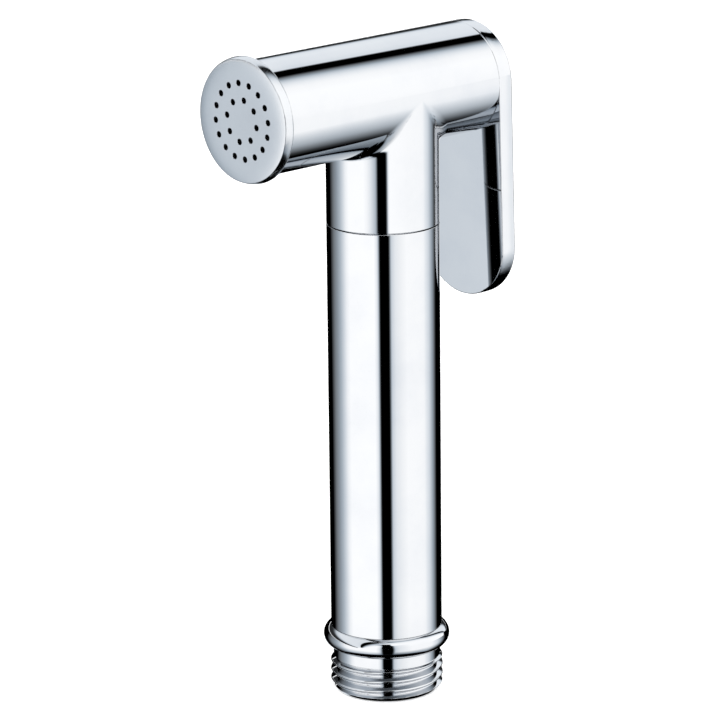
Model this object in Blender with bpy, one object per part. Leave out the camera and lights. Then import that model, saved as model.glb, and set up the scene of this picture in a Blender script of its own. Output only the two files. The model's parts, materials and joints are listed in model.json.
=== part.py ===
"""Handheld bidet shower: a chromed brass head, handle and lever, with the valve train inside.

Units are metres. The origin is the centre of the inlet's end face, +Z runs up the handle,
-Y is the direction of the spray and +Y is the lever's side.
"""

import math

import bmesh
import bpy
from mathutils import Matrix, Vector

MM = 0.001

# Clearances and broken edges
SEAT_GAP = 0.3 * MM
SEAL_GAP = 0.15 * MM
EDGE = 0.25 * MM

# Number of flats round the large turned pieces, the small ones, the pins and the seals' sections and rings
BODY_SEGMENTS = 40
SMALL_SEGMENTS = 26
PIN_SEGMENTS = 16
SEAL_SEGMENTS = 6
SEAL_RING_SEGMENTS = 24

# Flats on the small rounds, points per turn of a spring, and the angle from which an edge looks sharp
ROUND_STEPS = 3
SPRING_POINTS = 10
SHARP_ANGLE = 32.0

# How far a cutter runs past the solid it cuts
OVERCUT = 11.0 * MM

# Handle: tube, neck and spray tube share one outside radius
BODY_RADIUS = 10.35 * MM
TUBE_WALL = 1.2 * MM
SEAM_HEIGHT = 89.2 * MM
SPIGOT_LENGTH = 11.0 * MM
SPIGOT_WALL = 3.35 * MM

# O-rings: section diameter of the body seals, the stem seals and the check valve's seal
BODY_SEAL = 1.4 * MM
STEM_SEAL = 1.4 * MM
CHECK_SEAL = 1.2 * MM
GROOVE_SIDE = 0.3 * MM
SPIGOT_SEAL_OFFSET = 4.0 * MM

# Inlet connector: half-inch parallel pipe thread, relief groove and bead
THREAD_RADIUS = 10.478 * MM
THREAD_PITCH = 1.814 * MM
THREAD_DEPTH = 1.162 * MM
THREAD_LENGTH = 6.5 * MM
RELIEF_RADIUS = 9.95 * MM
RELIEF_WIDTH = 2.4 * MM
BEAD_PROUD = 1.4 * MM
BEAD_HEIGHT = 3.55 * MM
BEAD_STEPS = 7
INLET_BORE = 6.6 * MM
INLET_BORE_DEPTH = 11.3 * MM

# One turn of the thread's section: share of the pitch, share of the depth
THREAD_SECTION = ((0.0, 1.0), (0.2, 1.0), (0.5, 0.0), (0.7, 0.0))

# Check valve cartridge in the inlet bore
CHECK_WALL = 1.9 * MM
CHECK_RECESS = 1.2 * MM
CHECK_PORT = 3.0 * MM
CHECK_LIP = 1.2 * MM
CHECK_SEAL_OFFSET = 6.6 * MM
CHECK_HUB_RADIUS = 1.9 * MM
CHECK_HUB_HEIGHT = 1.2 * MM
CHECK_RIB_WIDTH = 1.1 * MM
CHECK_RIBS = 3
CHECK_POPPET_RADIUS = 3.7 * MM
CHECK_POPPET_RIM = 0.75 * MM
CHECK_STEM_RADIUS = 0.8 * MM
CHECK_WIRE = 0.5 * MM
CHECK_SPRING_RADIUS = 2.0 * MM
CHECK_TURNS = 4.5
CLOSED_TURN_GAP = 0.1 * MM

# Head casting
HEAD_AXIS = 113.3 * MM
NECK_FILLET = 1.3 * MM
SPRAY_REACH = 34.4 * MM
REAR_REACH = 20.15 * MM
CAP_BORE_WALL = 1.45 * MM
CAP_BORE_DEPTH = 9.5 * MM
OUTLET_WALL = 2.95 * MM
WEB_FRONT = -14.0 * MM
WEB_THICKNESS = 1.8 * MM
PORT_RADIUS = 3.6 * MM
SEAT_LIP_HEIGHT = 0.7 * MM
SEAT_LIP_WIDTH = 0.8 * MM
CHAMBER_WALL = 3.35 * MM
GLAND_DEPTH = 12.95 * MM
GLAND_WALL = 1.75 * MM

# Spray cap
FLANGE_PROUD = 1.1 * MM
FLANGE_THICKNESS = 2.0 * MM
FLANGE_ROUND = 0.6 * MM
FACE_CROWN = 0.3 * MM
FACE_RINGS = (0.0, 0.4, 0.8)
FACE_THICKNESS = 1.6 * MM
CAP_WALL = 1.0 * MM
CAP_WASHER = 1.1 * MM
HOLE_RADIUS = 0.55 * MM
HOLE_SEGMENTS = 8
OUTER_HOLES = 16
OUTER_HOLE_SHARE = 0.655
OUTER_HOLE_PHASE = -5.7
INNER_HOLES = 8
INNER_HOLE_SHARE = 0.369
INNER_HOLE_PHASE = 9.8

# Valve stem, its seat washer and the screw that holds it
STEM_RADIUS = 2.0 * MM
DISC_CLEARANCE = 1.4 * MM
DISC_THICKNESS = 2.0 * MM
DISC_RIM = 0.6 * MM
SEAT_WASHER = 1.6 * MM
SEAT_WASHER_PROUD = 0.5 * MM
SCREW_RADIUS = 1.0 * MM
SCREW_LENGTH = 5.3 * MM
SCREW_HEAD_RADIUS = 2.5 * MM
SCREW_HEAD = 1.2 * MM
SCREW_SLOT = 0.6 * MM
STEM_INSET = 1.15 * MM
TONGUE_HALF = 1.0 * MM
TONGUE_LENGTH = 4.8 * MM

# Valve spring
VALVE_WIRE = 0.8 * MM
VALVE_SPRING_RADIUS = 3.2 * MM
VALVE_TURNS = 6.5

# Gland nut
GLAND_LENGTH = 7.7 * MM
GLAND_SEAL_OFFSET = 3.5 * MM
STEM_SEAL_OFFSETS = (2.2 * MM, 5.4 * MM)
SPANNER_HOLE_RADIUS = 0.9 * MM
SPANNER_HOLE_DEPTH = 2.0 * MM
SPANNER_HOLE_INSET = 2.4 * MM

# Lever, its lugs and pins
PIVOT_DROP_SHARE = 0.58
PIVOT_INSET = 2.75 * MM
LEVER_TRAVEL = 14.0
LEVER_LEAN = 1.6
LEVER_THICKNESS = 3.45 * MM
LEVER_TIP = 71.85 * MM
LEVER_OUTER_ROUND = 0.5 * MM
LEVER_INNER_ROUND = 0.3 * MM
PIN_RADIUS = 0.7 * MM
LUG_RADIUS = 1.6 * MM
LUG_THICKNESS = 1.4 * MM
LUG_ROOT_DROP = 0.7 * MM
LUG_EMBED = 0.6 * MM
LUG_HEEL = 290.0
SLOT_COVER = 0.4 * MM
SLOT_TRAVEL = 0.35 * MM

# Sizes that follow from those above
TUBE_BORE = BODY_RADIUS - TUBE_WALL
SPIGOT_RADIUS = TUBE_BORE - SEAT_GAP
SPIGOT_BORE = SPIGOT_RADIUS - SPIGOT_WALL
CAP_BORE = BODY_RADIUS - CAP_BORE_WALL
CAP_SHOULDER = CAP_BORE_DEPTH - SPRAY_REACH
OUTLET_BORE = BODY_RADIUS - OUTLET_WALL
CHAMBER_BORE = BODY_RADIUS - CHAMBER_WALL
GLAND_SHOULDER = REAR_REACH - GLAND_DEPTH
GLAND_BORE = BODY_RADIUS - GLAND_WALL
FLANGE_RADIUS = BODY_RADIUS + FLANGE_PROUD
DISC_RADIUS = CHAMBER_BORE - DISC_CLEARANCE
PIVOT_DROP = BODY_RADIUS * PIVOT_DROP_SHARE
PIVOT_REACH = REAR_REACH - PIVOT_INSET
STEM_END = REAR_REACH - STEM_INSET
BEAD_BOTTOM = THREAD_LENGTH + RELIEF_WIDTH
BEAD_RADIUS = BODY_RADIUS + BEAD_PROUD
BEAD_SECTION = BEAD_HEIGHT / 2
BEAD_CENTRE = BEAD_BOTTOM + BEAD_SECTION
BEAD_CIRCLE = BEAD_RADIUS - BEAD_SECTION
NECK_BOTTOM = SEAM_HEIGHT + SEAT_GAP
HEAD_FRONT = -SPRAY_REACH + FLANGE_THICKNESS + SEAT_GAP
HEAD_REAR = REAR_REACH - SEAT_GAP
WEB_REAR = WEB_FRONT + WEB_THICKNESS
SEAT_FACE = WEB_REAR + SEAT_LIP_HEIGHT
WASHER_FRONT = SEAT_FACE + SEAT_GAP
WASHER_BACK = WASHER_FRONT + SEAT_WASHER
DISC_FRONT = WASHER_BACK + SEAT_GAP
DISC_BACK = DISC_FRONT + DISC_THICKNESS
GLAND_FRONT = GLAND_SHOULDER + SEAT_GAP
GLAND_REAR = GLAND_FRONT + GLAND_LENGTH
GLAND_RADIUS = GLAND_BORE - SEAT_GAP
SPANNER_HOLE_CIRCLE = GLAND_RADIUS - SPANNER_HOLE_INSET
PIN_HOLE = PIN_RADIUS + SEAT_GAP
LUG_INNER = TONGUE_HALF + SEAT_GAP
LUG_OUTER = LUG_INNER + LUG_THICKNESS
PIVOT = Vector((0, PIVOT_REACH, HEAD_AXIS - PIVOT_DROP))
LEAN_SLOPE = math.tan(math.radians(LEVER_LEAN))
LINK = Vector((0, PIVOT_REACH, HEAD_AXIS))


def bead_shoulder():
    """Height at which the bead's round reaches the radius of the handle tube."""
    reach = (BODY_RADIUS - BEAD_CIRCLE) / BEAD_SECTION
    return BEAD_CENTRE + BEAD_SECTION * math.sqrt(1.0 - reach * reach)


SHOULDER = bead_shoulder()
CHECK_RADIUS = INLET_BORE - SEAT_GAP
CHECK_BORE = CHECK_RADIUS - CHECK_WALL
CHECK_TOP = INLET_BORE_DEPTH - SEAT_GAP
CHECK_SEAT = CHECK_RECESS + CHECK_LIP
CHECK_HUB_BOTTOM = CHECK_TOP - CHECK_HUB_HEIGHT


def clear_scene():
    """Empties the file's start-up scene."""
    for item in list(bpy.data.objects):
        bpy.data.objects.remove(item, do_unlink=True)


def finish_material(name, colour, metallic, roughness):
    """A Principled material with one colour."""
    material = bpy.data.materials.new(name)
    material.use_nodes = True
    shader = material.node_tree.nodes["Principled BSDF"]
    shader.inputs["Base Color"].default_value = (*colour, 1.0)
    shader.inputs["Metallic"].default_value = metallic
    shader.inputs["Roughness"].default_value = roughness
    return material


def make_object(name, bm, material=None):
    """Closes a bmesh into an object with outward faces, smooth on its rounds."""
    bmesh.ops.remove_doubles(bm, verts=bm.verts, dist=1e-7)
    bmesh.ops.recalc_face_normals(bm, faces=bm.faces)
    mesh = bpy.data.meshes.new(name)
    bm.to_mesh(mesh)
    bm.free()
    mesh.shade_smooth()
    mesh.set_sharp_from_angle(angle=math.radians(SHARP_ANGLE))
    part = bpy.data.objects.new(name, mesh)
    bpy.context.scene.collection.objects.link(part)
    if material:
        mesh.materials.append(material)
    return part


def as_tool(part):
    """Marks a solid that only cuts or joins, and is no piece of the product."""
    part.hide_render = True
    part.display_type = "WIRE"
    return part


def combine(part, tool, operation):
    """Cuts a tool from a piece, or joins it on."""
    modifier = part.modifiers.new(tool.name, "BOOLEAN")
    modifier.operation = operation
    modifier.object = as_tool(tool)
    modifier.solver = "EXACT"


def along_head(part):
    """Turns a piece made along Z so that it lies along the head's axis."""
    part.rotation_euler = (-math.pi / 2, 0, 0)
    part.location = (0, 0, HEAD_AXIS)
    return part


def set_origin(part, point):
    """Moves a piece's origin to a point of the frame, and leaves its shape in place."""
    part.data.transform(Matrix.Translation(-point))
    part.location = point
    return part


def turned(name, outline, segments, material=None):
    """A solid of revolution about Z, from (radius, height) points round its half section."""
    bm = bmesh.new()
    points = [bm.verts.new((radius, 0, height)) for radius, height in outline]
    following = points[1:]
    if all(radius > 0 for radius, height in outline):
        following = points[1:] + points[:1]
    edges = [bm.edges.new(pair) for pair in zip(points, following)]
    bmesh.ops.spin(
        bm, geom=points + edges, cent=(0, 0, 0), axis=(0, 0, 1), angle=math.tau, steps=segments, use_merge=True
    )
    return make_object(name, bm, material)


def o_ring(name, inner, outer, height, section, material):
    """A seal ring between two radii, centred on a height."""
    middle = (inner + outer) / 2
    turns = [math.tau * k / SEAL_SEGMENTS for k in range(SEAL_SEGMENTS)]
    outline = [(middle + section / 2 * math.cos(a), height + section / 2 * math.sin(a)) for a in turns]
    return turned(name, outline, SEAL_RING_SEGMENTS, material)


def prism(name, outline, low, high, material=None):
    """A solid with an outline of (Y, Z) points, extruded along X."""
    bm = bmesh.new()
    face = bm.faces.new([bm.verts.new((low, y, z)) for y, z in outline])
    grown = bmesh.ops.extrude_face_region(bm, geom=[face])
    moved = [item for item in grown["geom"] if isinstance(item, bmesh.types.BMVert)]
    bmesh.ops.translate(bm, verts=moved, vec=(high - low, 0, 0))
    return make_object(name, bm, material)


def block(name, low, high, material=None):
    """A box between two corners."""
    outline = [(low[1], low[2]), (high[1], low[2]), (high[1], high[2]), (low[1], high[2])]
    return prism(name, outline, low[0], high[0], material)


def arc(centre, radius, start, end, steps):
    """Points on an arc, with angles in degrees from the first axis."""
    angles = [math.radians(start + (end - start) * k / steps) for k in range(steps + 1)]
    return [(centre[0] + radius * math.cos(a), centre[1] + radius * math.sin(a)) for a in angles]


def cross_pin(name, centre, radius, half_length, material=None):
    """A round pin or hole along X."""
    outline = arc((centre.y, centre.z), radius, 0, 360, PIN_SEGMENTS)[:-1]
    return prism(name, outline, -half_length, half_length, material)


def coil_spring(name, radius, wire, low, high, turns, material):
    """A compression spring along Z, with its end turns closed up."""
    closed_pitch = wire + CLOSED_TURN_GAP
    bottom = low + wire / 2
    top = high - wire / 2
    open_pitch = (top - bottom - 2 * closed_pitch) / (turns - 2)
    curve = bpy.data.curves.new(name, "CURVE")
    curve.dimensions = "3D"
    curve.bevel_depth = wire / 2
    curve.bevel_resolution = 1
    curve.use_fill_caps = True
    count = int(turns * SPRING_POINTS) + 1
    spline = curve.splines.new("POLY")
    spline.points.add(count - 1)
    for k, point in enumerate(spline.points):
        turn = turns * k / (count - 1)
        first = min(turn, 1.0)
        last = max(turn - (turns - 1.0), 0.0)
        height = bottom + closed_pitch * (first + last) + open_pitch * (turn - first - last)
        angle = math.tau * turn
        point.co = (radius * math.cos(angle), radius * math.sin(angle), height, 1.0)
    curve.materials.append(material)
    spring = bpy.data.objects.new(name, curve)
    bpy.context.scene.collection.objects.link(spring)
    return spring


def spigot_outline(start, direction, bore):
    """Half section of a spigot with its seal groove, from the shoulder to the bore at its end."""
    end = start + direction * SPIGOT_LENGTH
    groove = start + direction * SPIGOT_SEAL_OFFSET
    half = direction * (BODY_SEAL / 2 + GROOVE_SIDE)
    floor = TUBE_BORE - BODY_SEAL - 2 * SEAL_GAP
    return [
        (SPIGOT_RADIUS, start),
        (SPIGOT_RADIUS, groove - half),
        (floor, groove - half),
        (floor, groove + half),
        (SPIGOT_RADIUS, groove + half),
        (SPIGOT_RADIUS, end - direction * EDGE),
        (SPIGOT_RADIUS - EDGE, end),
        (bore, end),
    ]


def fillet_point(angle, share):
    """A point of the fillet that rolls round the corner between the neck and the spray tube."""
    side = Vector((math.cos(angle), math.sin(angle), 0))
    depth = abs(side.y)
    reach = BODY_RADIUS + NECK_FILLET
    centre = Vector((reach * side.x, reach * side.y, HEAD_AXIS - reach * depth))
    to_neck = -side
    to_tube = Vector((-side.x, 0, depth))
    if depth < 1e-6:
        return centre + NECK_FILLET * to_neck
    return centre + NECK_FILLET * to_neck.slerp(to_tube, share)


def tee_casting(name, material):
    """Outside of the head: a spray tube and a neck of one radius, blended where they meet."""
    bm = bmesh.new()
    count = BODY_SEGMENTS
    half = count // 2
    angles = [math.tau * k / count for k in range(count)]

    def neck_ring(radius, height):
        return [bm.verts.new((radius * math.cos(a), radius * math.sin(a), height)) for a in angles]

    def tube_ring(radius, reach, slope=0.0):
        ring = []
        for a in angles:
            height = HEAD_AXIS + radius * math.sin(a)
            ring.append(bm.verts.new((radius * math.cos(a), reach - slope * (height - PIVOT.z), height)))
        return ring

    spigot = spigot_outline(NECK_BOTTOM, -1, SPIGOT_BORE)[-2::-1]
    rings = [neck_ring(radius, height) for radius, height in spigot]
    rings.append(neck_ring(BODY_RADIUS - EDGE, NECK_BOTTOM))
    rings.append(neck_ring(BODY_RADIUS, NECK_BOTTOM + EDGE))
    for step in range(ROUND_STEPS + 1):
        rings.append([bm.verts.new(fillet_point(a, step / ROUND_STEPS)) for a in angles])
    for lower, upper in zip(rings, rings[1:]):
        for k in range(count):
            after = (k + 1) % count
            bm.faces.new((lower[k], lower[after], upper[after], upper[k]))
    bm.faces.new(rings[0])

    front_end = tube_ring(BODY_RADIUS - EDGE, HEAD_FRONT)
    front = tube_ring(BODY_RADIUS, HEAD_FRONT + EDGE)
    rear = tube_ring(BODY_RADIUS, HEAD_REAR - EDGE, LEAN_SLOPE)
    rear_end = tube_ring(BODY_RADIUS - EDGE, HEAD_REAR, LEAN_SLOPE)
    corner = rings[-1]
    crown = [corner[0]]
    for k in range(1, half):
        crown.append(bm.verts.new((front[k].co.x, 0, front[k].co.z)))
    crown.append(corner[half])
    for k in range(half):
        bm.faces.new((front[k], front[k + 1], crown[k + 1], crown[k]))
        bm.faces.new((crown[k], crown[k + 1], rear[k + 1], rear[k]))
        bm.faces.new((corner[k], corner[k + 1], rear[-k - 1], rear[-k % count]))
        low = half + k
        after = (low + 1) % count
        bm.faces.new((front[low], front[after], corner[after], corner[low]))
    for k in range(count):
        after = (k + 1) % count
        bm.faces.new((front_end[k], front_end[after], front[after], front[k]))
        bm.faces.new((rear[k], rear[after], rear_end[after], rear_end[k]))
    bm.faces.new(front_end)
    bm.faces.new(rear_end)
    return make_object(name, bm, material)


def head_body(material):
    """The head casting with its stepped bores, its valve seat and the relief under the lever."""
    head = tee_casting("head_body", material)
    lip_foot = PORT_RADIUS + SEAT_LIP_WIDTH + SEAT_LIP_HEIGHT / 2
    stepped = [
        (0, HEAD_FRONT - OVERCUT),
        (CAP_BORE, HEAD_FRONT - OVERCUT),
        (CAP_BORE, CAP_SHOULDER),
        (OUTLET_BORE, CAP_SHOULDER),
        (OUTLET_BORE, WEB_FRONT),
        (PORT_RADIUS, WEB_FRONT),
        (PORT_RADIUS, SEAT_FACE),
        (PORT_RADIUS + SEAT_LIP_WIDTH, SEAT_FACE),
        (lip_foot, WEB_REAR),
        (CHAMBER_BORE, WEB_REAR),
        (CHAMBER_BORE, GLAND_SHOULDER),
        (GLAND_BORE, GLAND_SHOULDER),
        (GLAND_BORE, HEAD_REAR + OVERCUT),
        (0, HEAD_REAR + OVERCUT),
    ]
    combine(head, along_head(turned("head_bore", stepped, BODY_SEGMENTS)), "DIFFERENCE")

    bottom = NECK_BOTTOM - SPIGOT_LENGTH - OVERCUT
    neck = [(0, bottom), (SPIGOT_BORE, bottom), (SPIGOT_BORE, HEAD_AXIS), (0, HEAD_AXIS)]
    combine(head, turned("neck_bore", neck, SMALL_SEGMENTS), "DIFFERENCE")

    face = REAR_REACH - PIVOT_REACH - SEAT_GAP
    low = (-BODY_RADIUS - OVERCUT, face, -BODY_RADIUS)
    high = (BODY_RADIUS + OVERCUT, face + OVERCUT, BODY_RADIUS + PIVOT_DROP)
    relief = block("lever_relief", low, high)
    relief.location = PIVOT
    relief.rotation_euler = (-math.radians(LEVER_TRAVEL - LEVER_LEAN), 0, 0)
    combine(head, relief, "DIFFERENCE")
    return head


def spray_holes():
    """Cutter for the two rings of spray holes, made along the cap's own axis."""
    bm = bmesh.new()
    depth = FACE_THICKNESS + FLANGE_THICKNESS
    rings = (
        (OUTER_HOLES, OUTER_HOLE_SHARE, OUTER_HOLE_PHASE),
        (INNER_HOLES, INNER_HOLE_SHARE, INNER_HOLE_PHASE),
    )
    for holes, share, phase in rings:
        circle = BODY_RADIUS * share
        for k in range(holes):
            turn = math.radians(phase - 90 + 360 * k / holes)
            place = Matrix.Translation((circle * math.cos(turn), circle * math.sin(turn), -SPRAY_REACH))
            bmesh.ops.create_cone(
                bm,
                cap_ends=True,
                segments=HOLE_SEGMENTS,
                radius1=HOLE_RADIUS,
                radius2=HOLE_RADIUS,
                depth=depth,
                matrix=place,
            )
    return along_head(make_object("spray_holes", bm))


def spray_cap(material):
    """Flanged, slightly crowned spray face on a short spigot."""
    spigot = CAP_BORE - SEAT_GAP
    back = -SPRAY_REACH + FLANGE_THICKNESS
    edge = FLANGE_RADIUS - FLANGE_ROUND
    rim = -SPRAY_REACH + FACE_CROWN + FLANGE_ROUND
    spigot_end = CAP_SHOULDER - CAP_WASHER - 2 * SEAT_GAP
    crowned = []
    for share in FACE_RINGS:
        crowned.append((edge * share, -SPRAY_REACH + FACE_CROWN * share * share))
    outline = crowned + arc((edge, rim), FLANGE_ROUND, -90, 0, ROUND_STEPS)
    outline += [
        (FLANGE_RADIUS, back - EDGE),
        (FLANGE_RADIUS - EDGE, back),
        (spigot, back),
        (spigot, spigot_end - EDGE),
        (spigot - EDGE, spigot_end),
        (spigot - CAP_WALL, spigot_end),
        (spigot - CAP_WALL, -SPRAY_REACH + FACE_THICKNESS),
        (0, -SPRAY_REACH + FACE_THICKNESS),
    ]
    cap = along_head(turned("spray_cap", outline, BODY_SEGMENTS, material))
    combine(cap, spray_holes(), "DIFFERENCE")
    return cap


def washer(name, inner, outer, low, high, material):
    """A flat ring between two radii and two stations."""
    outline = [(inner, low), (outer, low), (outer, high), (inner, high)]
    return turned(name, outline, SMALL_SEGMENTS, material)


def valve_stem(material):
    """Turned stem: a disc with a recess for its washer, a rod and a flat tongue with a cross hole."""
    recess = DISC_RADIUS - DISC_RIM
    tapped = SCREW_RADIUS + SEAT_GAP
    screw_end = WASHER_FRONT - SEAT_GAP + SCREW_LENGTH
    rim_front = WASHER_FRONT + SEAT_WASHER_PROUD
    outline = [
        (0, screw_end + SEAT_GAP),
        (tapped, screw_end + SEAT_GAP),
        (tapped, DISC_FRONT),
        (recess, DISC_FRONT),
        (recess, rim_front),
        (DISC_RADIUS, rim_front),
        (DISC_RADIUS, DISC_BACK),
        (STEM_RADIUS, DISC_BACK),
        (STEM_RADIUS, STEM_END - EDGE),
        (STEM_RADIUS - EDGE, STEM_END),
        (0, STEM_END),
    ]
    stem = along_head(turned("valve_stem", outline, SMALL_SEGMENTS, material))
    flat_start = STEM_END - TONGUE_LENGTH
    for side in (-1, 1):
        near = side * TONGUE_HALF
        far = side * 2 * STEM_RADIUS
        low = (min(near, far), flat_start, HEAD_AXIS - 2 * STEM_RADIUS)
        high = (max(near, far), STEM_END + STEM_RADIUS, HEAD_AXIS + 2 * STEM_RADIUS)
        name = "tongue_flat_left" if side < 0 else "tongue_flat_right"
        combine(stem, block(name, low, high), "DIFFERENCE")
    combine(stem, cross_pin("link_hole", LINK, PIN_HOLE, 2 * STEM_RADIUS), "DIFFERENCE")
    return stem


def seat_washer_screw(material):
    """Pan-head screw with one slot, in the front of the disc."""
    back = WASHER_FRONT - SEAT_GAP
    front = back - SCREW_HEAD
    outline = [
        (0, front),
        (SCREW_HEAD_RADIUS - SCREW_HEAD / 2, front),
        (SCREW_HEAD_RADIUS, front + SCREW_HEAD / 2),
        (SCREW_HEAD_RADIUS, back),
        (SCREW_RADIUS, back),
        (SCREW_RADIUS, back + SCREW_LENGTH),
        (0, back + SCREW_LENGTH),
    ]
    screw = along_head(turned("seat_washer_screw", outline, PIN_SEGMENTS, material))
    low = (-2 * SCREW_HEAD_RADIUS, front - SCREW_SLOT, HEAD_AXIS - SCREW_SLOT / 2)
    high = (2 * SCREW_HEAD_RADIUS, front + SCREW_SLOT, HEAD_AXIS + SCREW_SLOT / 2)
    combine(screw, block("driver_slot", low, high), "DIFFERENCE")
    return screw


def gland_nut(material):
    """Plug for the rear bore: outer seal groove, two stem seal grooves and the tongue for the pivot."""
    outer_floor = GLAND_BORE - BODY_SEAL - 2 * SEAL_GAP
    outer_seal = GLAND_FRONT + GLAND_SEAL_OFFSET
    outer_half = BODY_SEAL / 2 + GROOVE_SIDE
    guide = STEM_RADIUS + SEAT_GAP
    stem_floor = STEM_RADIUS + STEM_SEAL + 2 * SEAL_GAP
    stem_half = STEM_SEAL / 2 + GROOVE_SIDE / 2
    outline = [
        (GLAND_RADIUS - EDGE, GLAND_FRONT),
        (GLAND_RADIUS, GLAND_FRONT + EDGE),
        (GLAND_RADIUS, outer_seal - outer_half),
        (outer_floor, outer_seal - outer_half),
        (outer_floor, outer_seal + outer_half),
        (GLAND_RADIUS, outer_seal + outer_half),
        (GLAND_RADIUS, GLAND_REAR - EDGE),
        (GLAND_RADIUS - EDGE, GLAND_REAR),
        (guide, GLAND_REAR),
    ]
    for offset in reversed(STEM_SEAL_OFFSETS):
        station = GLAND_FRONT + offset
        outline += [
            (guide, station + stem_half),
            (stem_floor, station + stem_half),
            (stem_floor, station - stem_half),
            (guide, station - stem_half),
        ]
    outline.append((guide, GLAND_FRONT))
    gland = along_head(turned("gland_nut", outline, SMALL_SEGMENTS, material))

    root = GLAND_REAR - LUG_EMBED
    tongue = [(root, PIVOT.z - LUG_RADIUS)]
    tongue += arc((PIVOT.y, PIVOT.z), LUG_RADIUS, -90, 90, 2 * ROUND_STEPS)
    tongue.append((root, PIVOT.z + LUG_RADIUS))
    combine(gland, prism("pivot_tongue", tongue, -TONGUE_HALF, TONGUE_HALF), "UNION")
    combine(gland, cross_pin("pivot_hole", PIVOT, PIN_HOLE, 2 * TONGUE_HALF), "DIFFERENCE")

    for side in (-1, 1):
        mouth = GLAND_REAR + SPANNER_HOLE_DEPTH
        hole = [
            (0, GLAND_REAR - SPANNER_HOLE_DEPTH),
            (SPANNER_HOLE_RADIUS, GLAND_REAR - SPANNER_HOLE_DEPTH),
            (SPANNER_HOLE_RADIUS, mouth),
            (0, mouth),
        ]
        name = "spanner_hole_left" if side < 0 else "spanner_hole_right"
        cutter = along_head(turned(name, hole, PIN_SEGMENTS))
        cutter.location.x = side * SPANNER_HOLE_CIRCLE
        combine(gland, cutter, "DIFFERENCE")
    return gland


def lever_plate(name, material):
    """Stadium plate, flush on the rear of the head and leaning out a little behind the handle."""
    bm = bmesh.new()
    steps = BODY_SEGMENTS // 2
    outline = arc((0, HEAD_AXIS), BODY_RADIUS, 0, 180, steps)
    outline += arc((0, LEVER_TIP + BODY_RADIUS), BODY_RADIUS, 180, 360, steps)
    inner_face = bm.faces.new([bm.verts.new((x, REAR_REACH, z)) for x, z in outline])
    grown = bmesh.ops.extrude_face_region(bm, geom=[inner_face])
    moved = [item for item in grown["geom"] if isinstance(item, bmesh.types.BMVert)]
    bmesh.ops.translate(bm, verts=moved, vec=(0, LEVER_THICKNESS, 0))
    middle = REAR_REACH + LEVER_THICKNESS / 2
    rims = ((1, LEVER_OUTER_ROUND, ROUND_STEPS), (-1, LEVER_INNER_ROUND, ROUND_STEPS - 1))
    for side, offset, segments in rims:
        edges = [e for e in bm.edges if all(side * (v.co.y - middle) > LEVER_THICKNESS / 4 for v in e.verts)]
        bmesh.ops.bevel(
            bm, geom=edges, offset=offset, segments=segments, profile=0.5, affect="EDGES", clamp_overlap=True
        )
    for v in bm.verts:
        v.co.y -= LEAN_SLOPE * (v.co.z - PIVOT.z)
    return make_object(name, bm, material)


def lever(material):
    """The lever: plate and two inner lugs in one piece, turning on its pivot."""
    part = lever_plate("lever", material)
    root = REAR_REACH + LUG_EMBED
    top = HEAD_AXIS + SLOT_TRAVEL + SLOT_COVER
    outline = [(root, PIVOT.z - LUG_ROOT_DROP)]
    outline += arc((PIVOT.y, PIVOT.z), LUG_RADIUS, LUG_HEEL, 180, 2 * ROUND_STEPS)
    outline += arc((PIVOT.y, top), LUG_RADIUS, 180, 90, ROUND_STEPS)
    outline.append((root, top + LUG_RADIUS))
    slot = arc((LINK.y, LINK.z + SLOT_TRAVEL), PIN_HOLE, 0, 180, PIN_SEGMENTS // 2)
    slot += arc((LINK.y, LINK.z - SLOT_TRAVEL), PIN_HOLE, 180, 360, PIN_SEGMENTS // 2)
    for side, low, high in (("left", -LUG_OUTER, -LUG_INNER), ("right", LUG_INNER, LUG_OUTER)):
        combine(part, prism("lug_" + side, outline, low, high), "UNION")
    combine(part, prism("link_slot", slot, -2 * LUG_OUTER, 2 * LUG_OUTER), "DIFFERENCE")
    combine(part, cross_pin("lever_pivot_hole", PIVOT, PIN_HOLE, 2 * LUG_OUTER), "DIFFERENCE")
    return set_origin(part, PIVOT)


def thread_point(turn, row):
    """Radius and height of one row of the thread, after a share of a turn."""
    share, depth = THREAD_SECTION[row % len(THREAD_SECTION)]
    height = THREAD_PITCH * (row // len(THREAD_SECTION) - 1 + share + turn)
    root = THREAD_RADIUS - THREAD_DEPTH
    if height <= 0:
        return root, 0.0
    if height >= THREAD_LENGTH:
        return RELIEF_RADIUS, THREAD_LENGTH
    return min(THREAD_RADIUS - depth * THREAD_DEPTH, root + height), height


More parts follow.
